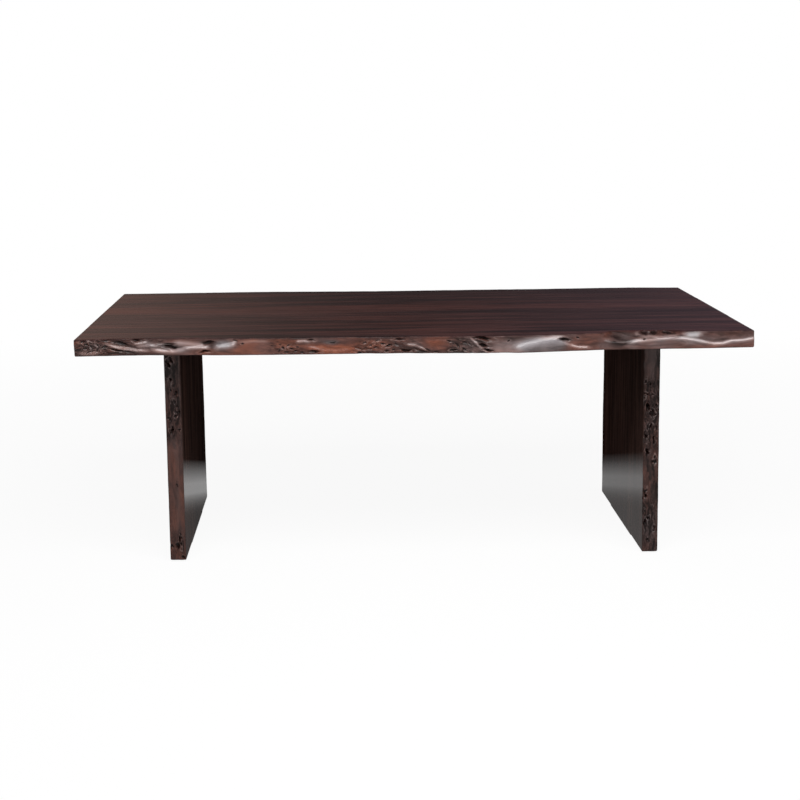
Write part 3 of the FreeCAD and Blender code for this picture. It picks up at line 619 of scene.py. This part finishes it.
# %% Places of a sheet's points
RUN_STEP, FALL_STEP = 1.7 * MM, 1.55 * MM
END_EASE = 4 * MM
RUN_STARTS = [0, 0.5 * MM, 1.4 * MM, 2.5 * MM, END_EASE]
FALL_STARTS = [0, 0.3 * MM, 0.9 * MM, 1.7 * MM]
STRIP = [d * MM for d in (1, 2.4, 4.4, 7.5, 12, 19, 30, 48)]
STRIP_SET_BACK = 3 * MM
LEAN_SHARE = 0.1
ARRIS_EASE, ARRIS_EASE_WANDER = 3.2, 1.6
EASE_DRIFT, STAIN_LINE = (60, 1, 5.5, 3), (25, 9, 33.3, 3)
STAIN_FADE = {ALONG_X: 7, ALONG_Z: 3}
MARK_FADE = 2.5 * MM


def rounded(inset, radius):
    """How far a rounded corner falls back at that inset from it."""
    fall_back = radius - np.sqrt(np.maximum(0, radius ** 2 - (radius - inset) ** 2))
    return np.where(inset < radius, fall_back, 0)


def grown_sheet(node, along, side, edge, seed):
    """The places of the sheet's points, by column along the board and row across it, and their marks."""
    across, inward = ALONG_X + ALONG_Z - along, -side
    low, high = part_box(node.name)
    width, centre = high[across] - low[across], (low[across] + high[across]) / 2
    run = spread(high[along] - low[along], RUN_STEP, RUN_STARTS)
    fall = spread(width, FALL_STEP, FALL_STARTS)
    places, heights = low[along] + run, high[across] - fall
    face = cad_edge(node, along, side, places, heights)
    face = face.mean(axis=1, keepdims=True) * (1 - LEAN_SHARE) + face * LEAN_SHARE
    s, d = np.meshgrid(run / MM, fall / MM, indexing="ij")
    if along == ALONG_Z:
        s, d = s[::-1], width / MM - d
    height, stain_and_shade, tone, painted_highlight = edge_relief(s, d, edge, seed)
    ease = (ARRIS_EASE + ARRIS_EASE_WANDER * layer(s, 0 * s, EASE_DRIFT, seed)) * MM
    near_arris = np.minimum(fall, width - fall)[None, :]
    face_out = face + inward * (rounded(near_arris, ease) - height * MM)
    upper_fade = smooth_step(-1, STAIN_FADE[along], d + 2 * layer(s, d, STAIN_LINE, seed))
    stained = upper_fade * smooth_step(-1, 3, width / MM - d)

    back = np.array(STRIP[::-1] + [0] * len(fall) + STRIP)
    row = np.clip(np.arange(len(back)) - len(STRIP), 0, len(fall) - 1)
    fold = back / STRIP[-1]
    flat_face = face[:, row] + inward * (STRIP[-1] + STRIP_SET_BACK)
    end_in = rounded(np.minimum(run, run[-1] - run), END_EASE)[:, None]
    points = np.zeros((len(run), len(back), 3))
    points[:, :, along] = places[:, None]
    points[:, :, OUTWARD] = face_out[:, row] * (1 - fold) + flat_face * fold + inward * end_in
    points[:, :, across] = (heights[row] - centre) * (1 - 2 * end_in / width) + centre
    keep = np.exp(-(back / MARK_FADE) ** 2)
    # marks: live, dark stain with painted shade, tone, and painted highlight
    marks = {"live": keep * stained[:, row], "stain_and_shade": keep * stain_and_shade[:, row], "tone": tone[:, row],
             "painted_highlight": keep * painted_highlight[:, row]}
    return points, marks


print("sheet folded back", round(STRIP[-1] / MM), "mm over each arris")

# %% [markdown]
# ## From the sheet to a closed board
# The long sides of the sheet are extruded back to the glue line and bridged there, and the ends are
# filled, so the board is a closed solid.

# %% Making and closing a sheet
def sheet_mesh(name, points, marks):
    """A grid with its points moved to their places. Its points are numbered row by row."""
    columns, rows = points.shape[:2]
    bpy.ops.object.select_all(action="DESELECT")
    bpy.ops.mesh.primitive_grid_add(x_subdivisions=columns - 1, y_subdivisions=rows - 1, size=1)
    board = bpy.context.object
    board.name = board.data.name = name
    board.data.vertices.foreach_set("co", points.swapaxes(0, 1).ravel())
    for mark, values in marks.items():
        attribute = board.data.attributes.new(mark, "FLOAT", "POINT")
        attribute.data.foreach_set("value", values.T.ravel())
    return board


def close_board(board, columns, glue):
    """Extrude the long sides of a sheet to the glue line, bridge them and fill the ends."""
    mesh = board.data
    edge_ends = np.zeros(len(mesh.edges) * 2, int)
    mesh.edges.foreach_get("vertices", edge_ends)
    first, second = edge_ends.reshape(-1, 2).T // columns
    last_row = len(mesh.vertices) // columns - 1
    on_side = (first == second) & ((first == 0) | (first == last_row))
    bpy.ops.object.mode_set(mode="EDIT")
    bpy.ops.mesh.select_mode(type="EDGE")
    bpy.ops.mesh.select_all(action="DESELECT")
    bpy.ops.object.mode_set(mode="OBJECT")
    mesh.edges.foreach_set("select", on_side.tolist())
    bpy.ops.object.mode_set(mode="EDIT")
    bpy.ops.mesh.extrude_edges_move()
    bpy.ops.transform.resize(value=(1, 0, 1), center_override=(0, glue, 0))
    bpy.ops.mesh.bridge_edge_loops()
    bpy.ops.mesh.select_all(action="DESELECT")
    bpy.ops.mesh.select_non_manifold()
    bpy.ops.mesh.fill_holes(sides=0)
    bpy.ops.mesh.select_all(action="SELECT")
    bpy.ops.mesh.normals_make_consistent(inside=False)
    bpy.ops.object.mode_set(mode="OBJECT")


print("sheets can be made and closed")

# %% [markdown]
# ## Pockets for the plates and channels
# The steel plates and channels lie flush in the underside of the top, and their pockets run through
# its live edge boards too. A boolean modifier cuts each pocket with a box that is a little larger than
# the fitting.

# %% Pockets
LET_IN_ROOM = 0.3 * MM
POCKET_OVERRUN = 3 * MM
FLUSH_FITTINGS = [side + fitting for fitting in ("leg_mounting_plate", "stiffening_channel")
                  for side in ("left_", "right_")]


def let_in(board, fitting):
    """A pocket in the underside of a board for a plate or channel that lies flush in it."""
    low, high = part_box(fitting)
    low = low - Vector((LET_IN_ROOM, LET_IN_ROOM, POCKET_OVERRUN))
    high = high + Vector((LET_IN_ROOM, LET_IN_ROOM, LET_IN_ROOM))
    bpy.ops.object.select_all(action="DESELECT")
    bpy.ops.mesh.primitive_cube_add(size=1, location=(low + high) / 2)
    cutter = bpy.context.object
    cutter.scale = high - low
    bpy.context.view_layer.objects.active = board
    cut = board.modifiers.new("pocket", "BOOLEAN")
    cut.operation = "DIFFERENCE"
    cut.solver = "EXACT"
    cut.object = cutter
    bpy.ops.object.modifier_apply(modifier=cut.name)
    bpy.data.objects.remove(cutter)


print("pockets:", len(FLUSH_FITTINGS))

# %% [markdown]
# ## The six boards
# The top and each leg have one at the front and one at the rear. Their arrises stay crisp and their
# relief is shaded smooth.

# %% Grow the boards
CRISP_ANGLE = math.radians(40)


def live_board(name, along, side, edge, seed):
    """A closed board with a live edge, in the place of the CAD board of that name."""
    node = nodes[name]
    low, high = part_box(node.name)
    points, marks = grown_sheet(node, along, side, edge, seed)
    board = sheet_mesh(name + "_grown", points, marks)
    close_board(board, len(points), high.y if side == FRONT else low.y)
    if along == ALONG_X:
        for fitting in FLUSH_FITTINGS:
            let_in(board, fitting)
    bpy.ops.object.select_all(action="DESELECT")
    board.select_set(True)
    bpy.ops.object.shade_smooth_by_angle(angle=CRISP_ANGLE)
    print(name, "grown:", len(board.data.vertices), "vertices,", len(board.data.polygons), "faces")
    return board


boards = {}
for part, along, side, edge, seed in (
        ("top_front", ALONG_X, FRONT, front_edge, 1.0), ("top_rear", ALONG_X, REAR, rear_edge, 90.0),
        ("left_leg_front", ALONG_Z, FRONT, left_leg_edge, 30.0),
        ("right_leg_front", ALONG_Z, FRONT, right_leg_edge, 45.0),
        ("left_leg_rear", ALONG_Z, REAR, left_leg_rear_edge, 60.0),
        ("right_leg_rear", ALONG_Z, REAR, right_leg_rear_edge, 75.0)):
    name = part + "_live_edge_board"
    boards[name] = live_board(name, along, side, edge, seed)
for name, board in boards.items():
    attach(board, "root")
    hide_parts(name)

# %% [markdown]
# ## Shader arithmetic
# Finishes are easier to read as sums than as boxes and wires. A Wire is one output of a shader node.
# Arithmetic on it adds Math nodes, and its node method adds any other node.

# %% Wires
class Wire:
    """One output of a shader node."""

    def __init__(self, tree, socket=None):
        self.tree, self.socket = tree, socket

    def node(self, kind, settings=None, inputs=None, out=0):
        """A new node of that kind. Its settings are set first, then its sockets get values or links."""
        made = self.tree.nodes.new("ShaderNode" + kind)
        for key, value in (settings or {}).items():
            setattr(made, key, value)
        for key, value in (inputs or {}).items():
            if isinstance(value, Wire):
                self.tree.links.new(value.socket, made.inputs[key])
            elif value is not None:
                made.inputs[key].default_value = value
        return Wire(self.tree, made.outputs[out])

    def maths(self, operation, first, second):
        """A Math node."""
        return self.node("Math", {"operation": operation}, {0: first, 1: second})

    def __add__(self, other):
        return self.maths("ADD", self, other)

    def __sub__(self, other):
        return self.maths("SUBTRACT", self, other)

    def __rsub__(self, other):
        return self.maths("SUBTRACT", other, self)

    def __mul__(self, other):
        return self.maths("MULTIPLY", self, other)

    def __pow__(self, other):
        return self.maths("POWER", self, other)

    __radd__, __rmul__ = __add__, __mul__

    def ramp(self, low, high):
        """0 at low, 1 at high, held between."""
        return self.node("MapRange", inputs={0: self, 1: low, 2: high})

    def mix(self, first, second, blend="MIX"):
        """From the first colour to the second as this goes from 0 to 1."""
        settings = {"data_type": "RGBA", "blend_type": blend}
        return self.node("Mix", settings, {0: self, 6: first, 7: second}, out=2)

    def axis(self, vector, axis):
        """The X, Y or Z of a vector."""
        return self.node("SeparateXYZ", inputs={0: vector}, out=axis)

    def noise(self, place, scale, detail, stretch=(1, 1, 1), shift=(0, 0, 0), distortion=0.0):
        """Noise that is stretched and shifted along the axes."""
        moved = self.node("Mapping", inputs={"Vector": place, "Location": shift, "Scale": stretch})
        inputs = {"Vector": moved, "Scale": scale, "Detail": detail, "Distortion": distortion}
        return self.node("TexNoise", inputs=inputs)

    def into(self, surface, name):
        """This feeds a socket of a surface shader."""
        self.tree.links.new(self.socket, surface.inputs[name])


# outputs of the texture coordinate, geometry and attribute nodes
OBJECT_PLACE, NORMAL, FACTOR = 3, 1, 2


def rgb(red, green, blue, light=1.0):
    """A colour as seen on a screen, 0 to 255, as linear light, dimmed by light."""
    linear = (v / 255 / 12.92 if v < 10 else ((v / 255 + 0.055) / 1.055) ** 2.4 for v in (red, green, blue))
    return *(light * v for v in linear), 1


def start(name, constants):
    """A new material, its first Wire and its surface shader, with some of its sockets set."""
    finish = bpy.data.materials.new(name)
    finish.use_nodes = True
    surface = finish.node_tree.nodes["Principled BSDF"]
    for socket, value in constants.items():
        surface.inputs[socket].default_value = value
    return finish, Wire(finish.node_tree), surface


print("wires ready")

# %% [markdown]
# ## The stain on the flat faces
# The wood is stained nearly black-brown. On flat faces the grain shows as fine streaks along the
# board, redder or greyer from place to place. On the top the red streaks grow stronger towards the left
# end, a painted warm sheen. Each layer is noise drawn out along the grain, and each board reads it at
# another place, so no two are alike.

# %% Stain on the flat faces
FLAT_STAIN = {
    ALONG_X: (rgb(26, 16, 16), rgb(45, 28, 28), rgb(70, 45, 43), rgb(76, 40, 34)),
    ALONG_Z: (rgb(31, 24, 22), rgb(46, 34, 31), rgb(62, 47, 42), rgb(74, 46, 38))}
PORE = rgb(200, 190, 188)
GRAIN_LAYERS = {
    "fine": (260, 4, 0.04, 0.2), "streak": (62, 4, 0.04, 0.6), "band": (11, 3, 0.09, 0.8),
    "cloud": (2.2, 2, 0.5, 0.0), "curl": (46, 5, 0.3, 1.2)}


def grain_noise(w, place, grain, apart):
    """Noise drawn out along the grain: fine pores, streaks, bands, clouds, and curls on the live edges."""
    seen = {}
    for name, (scale, detail, share, distortion) in GRAIN_LAYERS.items():
        stretch = (share, 1, 1) if grain == ALONG_X else (1, 1, share)
        seen[name] = w.noise(place, scale, detail, stretch, apart, distortion)
    return seen


def flat_stain(w, place, grain, seen, warmth):
    """The colour of the flat faces. warmth is how red the board is, from -1 to 1."""
    dark, middle, pale, red = FLAT_STAIN[grain]
    depth = seen["streak"].ramp(0.34, 0.68) * 0.55 + seen["band"].ramp(0.32, 0.68) * 0.45
    stain = depth.ramp(0.5, 0.9).mix(depth.ramp(0.12, 0.5).mix(dark, middle), pale)
    if grain == ALONG_X:
        # painted warm sheen: the red streaks grow stronger towards the left end of the top
        painted_left_sheen = 1 - 0.75 * w.axis(place, ALONG_X)
        streaks = seen["band"].ramp(0.44, 0.66) * seen["cloud"].ramp(0.3, 0.65)
        reddish = streaks * (0.42 + 0.15 * warmth) * painted_left_sheen
    else:
        reddish = seen["cloud"].ramp(0.42, 0.8) * (0.35 + 0.3 * warmth) * depth
    stain = reddish.mix(stain, red)
    pores = 1 - seen["fine"].ramp(0.36, 0.5)
    return pores.mix(stain, PORE, "MULTIPLY")


print("stains for the top and the legs")

# %% [markdown]
# ## The sawn ends
# At the sawn ends the growth rings show as arcs. They are noise of the distance from the heart of the
# tree, which lies well outside the board, as in a plank sawn from a trunk.

# %% Sawn ends
RING_SCALE, RING_WAVE = 170, 0.008
HEART_BELOW, HEART_BESIDE, HEART_STEP = -0.6, 0.7, 0.21
DARK_RING, PALE_RING = rgb(34, 23, 21), rgb(60, 42, 38)


def sawn_end(w, place, facing, grain, shift):
    """Where a board is sawn across, and the colour of its rings there."""
    lean = w.axis(facing, grain)
    sawn = lean.maths("ABSOLUTE", lean, None).ramp(0.75, 0.95)
    heart, across = (0, HEART_STEP * shift, HEART_BELOW), (0, 1, 1)
    if grain == ALONG_Z:
        heart, across = (HEART_BESIDE, HEART_STEP * shift, 0), (1, 1, 0)
    from_heart = w.node("Mapping", inputs={"Vector": place, "Location": heart, "Scale": across})
    radius = w.node("VectorMath", {"operation": "LENGTH"}, {0: from_heart}, out=1)
    radius = radius + RING_WAVE * w.noise(place, 9, 2)
    rings = w.node("TexNoise", {"noise_dimensions": "1D"}, {"W": radius, "Scale": RING_SCALE, "Detail": 3})
    return sawn, rings.ramp(0.36, 0.64).mix(DARK_RING, PALE_RING)


print("rings", round(1000 / RING_SCALE, 1), "mm apart")

# %% [markdown]
# ## The skin of the live edges
# On the live edges more of the wood's own colour is left: reddish brown, orange brown in some patches
# and grey in others. It is black in the pits, partly from stain and partly as painted shadow, dark in
# recesses as painted shade, and pale on crests and pit rims as painted highlights. On the legs the same
# skin is dimmed as painted shade.

# %% Skin of the live edges
# 1 on the top; on the legs the skin is dimmed as painted shade
SKIN_PAINTED_LIGHT = {ALONG_X: 1.0, ALONG_Z: 0.56}


def live_skin(curl, tone, stain_and_shade, painted_highlight, light):
    """The colour of the live edges from the marks on their points."""
    weave = curl.ramp(0.3, 0.7)
    brown = weave.mix(rgb(63, 37, 32, light), rgb(104, 66, 57, light))
    orange = weave.mix(rgb(98, 48, 32, light), rgb(142, 78, 52, light))
    grey = weave.mix(rgb(68, 58, 58, light), rgb(106, 95, 95, light))
    greyness = (0 - tone).ramp(0.05, 0.8)
    skin = greyness.mix(tone.ramp(0.05, 0.8).mix(brown, orange), grey)
    # black where dark stain and painted shade lie
    skin = stain_and_shade.ramp(0.03, 0.95).mix(skin, rgb(26, 16, 14, light))
    # the painted highlight's colour, pinkish, or neutral on grey wood
    pale_highlight = greyness.mix(rgb(166, 136, 129, light), rgb(146, 140, 143, light))
    return (painted_highlight * (0.5 + 0.4 * curl)).mix(skin, pale_highlight)


print("skin light on the legs:", SKIN_PAINTED_LIGHT[ALONG_Z])

# %% [markdown]
# ## The lacquer
# The lacquer is a coat over the stain, thin on the flat faces and thicker on the live edges, most of
# all where highlights are painted on the crests. The inner faces of the legs are polished in a soft band
# low down, which slants down towards the rear and catches the light.

# %% Lacquer
TOP_GLOSS, OUTER_GLOSS = 0.14, 0.12
LEG_GLOSS = {"left": (0.09, 0.577), "right": (0.19, 0.307)}
# the live edges get more coat where a highlight is painted
LIVE_GLOSS, HIGHLIGHT_GLOSS = {ALONG_X: 0.45, ALONG_Z: 0.35}, 0.55
BAND_SLANT, LEG_FRONT = 0.27, -0.39
BAND_TOP, BAND_FOOT, DULL_ABOVE = (0.345, 0.26), (0.13, 0.226), (0.32, 0.26)
LACQUER = {"Specular IOR Level": 0.0, "Coat Roughness": 0.26, "Coat IOR": 1.65}


def leg_gloss(w, place, facing, gloss, sheen):
    """The coat on a leg: thin outside, and on the inner face polished in a band and dull above it."""
    over, across, height = (w.axis(place, axis) for axis in range(3))
    inner = (0 - w.axis(facing, ALONG_X) * over).ramp(0, 0.5)
    slant = height + BAND_SLANT * (across - LEG_FRONT)
    band = slant.ramp(*BAND_TOP) * slant.ramp(*BAND_FOOT) ** 3
    return inner * (band * sheen + gloss * slant.ramp(*DULL_ABOVE) - OUTER_GLOSS) + OUTER_GLOSS


print("lacquer ready")

# %% [markdown]
# ## The finished wood
# All of it meets in one material for each board. A flat board has none of the marks, so they read 0
# there and only the flat finish shows.

# %% Wood finish
BUMP_DEPTH, BUMP_STRENGTH = 0.0006, 0.25
BOARD_STEP = 0.83
NOISE_STEPS = (3.1, 7.7, 5.3)
BOARD_KINDS = ("_front_live_edge_board", "_inner_board_1", "_inner_board_2", "_rear_live_edge_board")
WARMTH = {"top": (0.2, -0.4, 0.6, -0.2), "left_leg": (0.3, -0.2, 0.4, 0), "right_leg": (-0.1, 0.4, -0.3, 0.2)}


def stained_wood(name, grain, shift, warmth):
    """The finish of one board. grain is the axis that it runs along."""
    finish, w, surface = start(name + "_stain", {"Base Color": FLAT_STAIN[grain][1], **LACQUER})
    place = w.node("TexCoord", out=OBJECT_PLACE)
    facing = w.node("NewGeometry", out=NORMAL)
    seen = grain_noise(w, place, grain, tuple(shift * step for step in NOISE_STEPS))
    live, stain_and_shade, tone, painted_highlight = (w.node("Attribute", {"attribute_name": mark}, out=FACTOR)
                                for mark in ("live", "stain_and_shade", "tone", "painted_highlight"))
    sawn, rings = sawn_end(w, place, facing, grain, shift)
    flat = sawn.mix(flat_stain(w, place, grain, seen, warmth), rings)
    skin = sawn.mix(live_skin(seen["curl"], tone, stain_and_shade, painted_highlight, SKIN_PAINTED_LIGHT[grain]), rings)
    live.mix(flat, skin).into(surface, "Base Color")

    rough_flat = 0.5 + 0.12 * seen["band"] + 0.1 * sawn
    rough_live = 0.27 + 0.16 * seen["curl"] + 0.35 * stain_and_shade
    (rough_flat + live * (rough_live - rough_flat)).into(surface, "Roughness")
    gloss = TOP_GLOSS
    if grain == ALONG_Z:
        gloss = leg_gloss(w, place, facing, *LEG_GLOSS["left" if "left" in name else "right"])
    live_gloss = LIVE_GLOSS[grain] * (1 - 0.6 * stain_and_shade) + HIGHLIGHT_GLOSS * painted_highlight
    (gloss + live * (live_gloss - gloss)).into(surface, "Coat Weight")
    height = seen["fine"] * 0.5 + seen["streak"] * 0.5 + live * seen["curl"] * 2
    bump = w.node("Bump", inputs={"Strength": BUMP_STRENGTH, "Distance": BUMP_DEPTH, "Height": height})
    bump.into(surface, "Normal")
    return finish


wood = []
for part, warmths in WARMTH.items():
    for kind, warmth in zip(BOARD_KINDS, warmths):
        name = part + kind
        grain = ALONG_X if part == "top" else ALONG_Z
        piece = boards.get(name, nodes[name])
        piece.data.materials.clear()
        piece.data.materials.append(stained_wood(name, grain, 1 + len(wood) * BOARD_STEP, warmth))
        wood.append(name)
print("wood finishes:", len(wood))

# %% [markdown]
# ## The fittings
# The plates and channels are black powder-coated steel, an even satin with a faint orange peel. Screws,
# bolts, washers, nails and inserts are zinc plated, with a blue or yellow cast and fine scuffs. The
# glides are pale nylon and the dowels are plain beech.

# %% Fitting finishes
PEEL_DEPTH = 0.0002
GRIT_SCALE = 14


def fitting_finish(name, first, second, scale, metallic, rough, rough_spread, peel):
    """A finish that goes from one colour to another in clouds and grit."""
    finish, w, surface = start(name, {"Metallic": metallic})
    place = w.node("TexCoord", out=OBJECT_PLACE)
    cloud = w.noise(place, scale, 4)
    grit = w.noise(place, scale * GRIT_SCALE, 3)
    (cloud.ramp(0.3, 0.7) * 0.75 + grit * 0.25).mix(first, second).into(surface, "Base Color")
    (rough + rough_spread * (cloud - 0.5)).into(surface, "Roughness")
    bump = w.node("Bump", inputs={"Strength": peel, "Distance": PEEL_DEPTH, "Height": grit})
    bump.into(surface, "Normal")
    return finish


fittings = [name for name in nodes if name not in wood]
for endings, *look in (
        (("channel", "plate"),
         "black_powder_coat", rgb(20, 20, 21), rgb(31, 31, 32), 60, 0.0, 0.5, 0.15, 0.4),
        (("screws", "bolts", "washers", "nails"),
         "bright_zinc", rgb(150, 152, 156), rgb(178, 178, 174), 90, 1.0, 0.36, 0.2, 0.15),
        (("inserts",), "yellow_zinc", rgb(150, 132, 84), rgb(176, 160, 112), 90, 1.0, 0.4, 0.2, 0.15),
        (("glides",), "pale_nylon", rgb(196, 192, 182), rgb(214, 210, 201), 50, 0.0, 0.55, 0.1, 0.2),
        (("dowels",), "plain_beech", rgb(176, 134, 92), rgb(200, 160, 118), 120, 0.0, 0.6, 0.1, 0.3)):
    finish = fitting_finish(*look)
    for name in fittings:
        if name.endswith(endings):
            nodes[name].data.materials.clear()
            nodes[name].data.materials.append(finish)
print("fittings:", len(fittings))

# %% [markdown]
# ## The floor
# The table stands on a studio floor that runs to the horizon. It is white to the eye and in reflections.
# Near the table a small share of that white comes from the lamps, so it keeps the table's shadow.

# %% Floor
FLOOR_SIZE = 300
NEAR, FAR = 1.5, 4.5
FLOOR_PAINT = {"Base Color": (0.92, 0.92, 0.92, 1), "Roughness": 0.9, "Specular IOR Level": 0.0}
WHITE = (1, 1, 1, 1)
NEAR_GLOW = 0.93
# outputs of the light path node
EYE_RAY, MIRROR_RAY, GLASS_RAY = 0, 3, 6

bpy.ops.object.select_all(action="DESELECT")
bpy.ops.mesh.primitive_plane_add(size=FLOOR_SIZE, location=(0, 0, 0))
floor = bpy.context.object
floor.name = "studio_floor"
floor_finish, w, surface = start("white_studio_floor", FLOOR_PAINT)
eye, mirror, glass = (w.node("LightPath", out=ray) for ray in (EYE_RAY, MIRROR_RAY, GLASS_RAY))
seen = w.maths("MINIMUM", eye + mirror + glass, 1.0)
glow = w.node("Emission", inputs={"Color": WHITE, "Strength": 1.0})
floor_place = w.node("TexCoord", out=OBJECT_PLACE)
far = w.node("VectorMath", {"operation": "LENGTH"}, {0: floor_place}, out=1).ramp(NEAR, FAR)
lit = Wire(w.tree, surface.outputs[0])
share = w.node("MixShader", inputs={0: (NEAR_GLOW + (1 - NEAR_GLOW) * far) * seen, 1: lit, 2: glow})
share.into(w.tree.nodes["Material Output"], "Surface")
floor.data.materials.append(floor_finish)
print("floor", FLOOR_SIZE, "m wide")

# %% [markdown]
# ## The sky
# The low sky is white, so it meets the floor without a line, and the white reaches higher at the two
# sides. The sky above it is a dim grey, which the lacquered top mirrors. Two places on the wall behind
# glow: a warm one at the left, which gives the top its sheen, and a weak violet one at the right.

# %% Sky
CEILING = (0.07, 0.07, 0.073, 1)
LEFT_WALL, LEFT_RIM, LEFT_GLOW = (-0.38, 0.91, 0.15), 0.9, (3.5, 2.35, 1.95, 1)
RIGHT_WALL, RIGHT_RIM, RIGHT_GLOW = (0.36, 0.92, 0.15), 0.94, (0.75, 0.45, 0.65, 1)
WHITE_BELOW, DIM_ABOVE, SIDE_RISE = 0.08, 0.12, 0.2

sky = bpy.data.worlds.new("studio_sky")
sky.use_nodes = True
bpy.context.scene.world = sky
w = Wire(sky.node_tree)
aim = w.node("TexCoord")


def glow_at(wall, rim):
    """1 where the sky lies towards that place on the wall, fading to 0 at the rim."""
    near = w.node("VectorMath", {"operation": "DOT_PRODUCT"}, {0: aim, 1: wall}, out=1).ramp(rim, 1.0)
    return near * near


above = glow_at(LEFT_WALL, LEFT_RIM).mix(CEILING, LEFT_GLOW)
above = glow_at(RIGHT_WALL, RIGHT_RIM).mix(above, RIGHT_GLOW)
over, rise = w.axis(aim, ALONG_X), w.axis(aim, ALONG_Z)
shade = (rise - SIDE_RISE * over * over).ramp(WHITE_BELOW, DIM_ABOVE).mix(WHITE, above)
background = sky.node_tree.nodes["Background"]
background.inputs["Strength"].default_value = 1.0
shade.into(background, "Color")
print("sky with two glows")

# %% [markdown]
# ## The lamps
# A large soft box hangs above the front edge and draws the highlights along its crests. A weaker one
# fills from the front, so the legs don't sink into black.

# %% Lamps
def soft_box(name, place, target, width, height, watts):
    """A lamp the shape of a panel, turned to a target."""
    bpy.ops.object.light_add(type="AREA", location=place)
    lamp = bpy.context.object
    lamp.name = name
    lamp.data.shape = "RECTANGLE"
    lamp.data.size, lamp.data.size_y = width, height
    lamp.data.energy = watts
    lamp.rotation_euler = (Vector(target) - Vector(place)).to_track_quat("-Z", "Y").to_euler()


soft_box("overhead_front_box", (0.25, -2.1, 3.2), (0.1, -0.4, 0.7), 4.8, 1.6, 150)
soft_box("front_box", (0.3, -5.0, 2.3), (0, 0, 0.6), 3.5, 0.8, 30)
bpy.context.scene.view_settings.view_transform = "Standard"
print("two soft boxes")
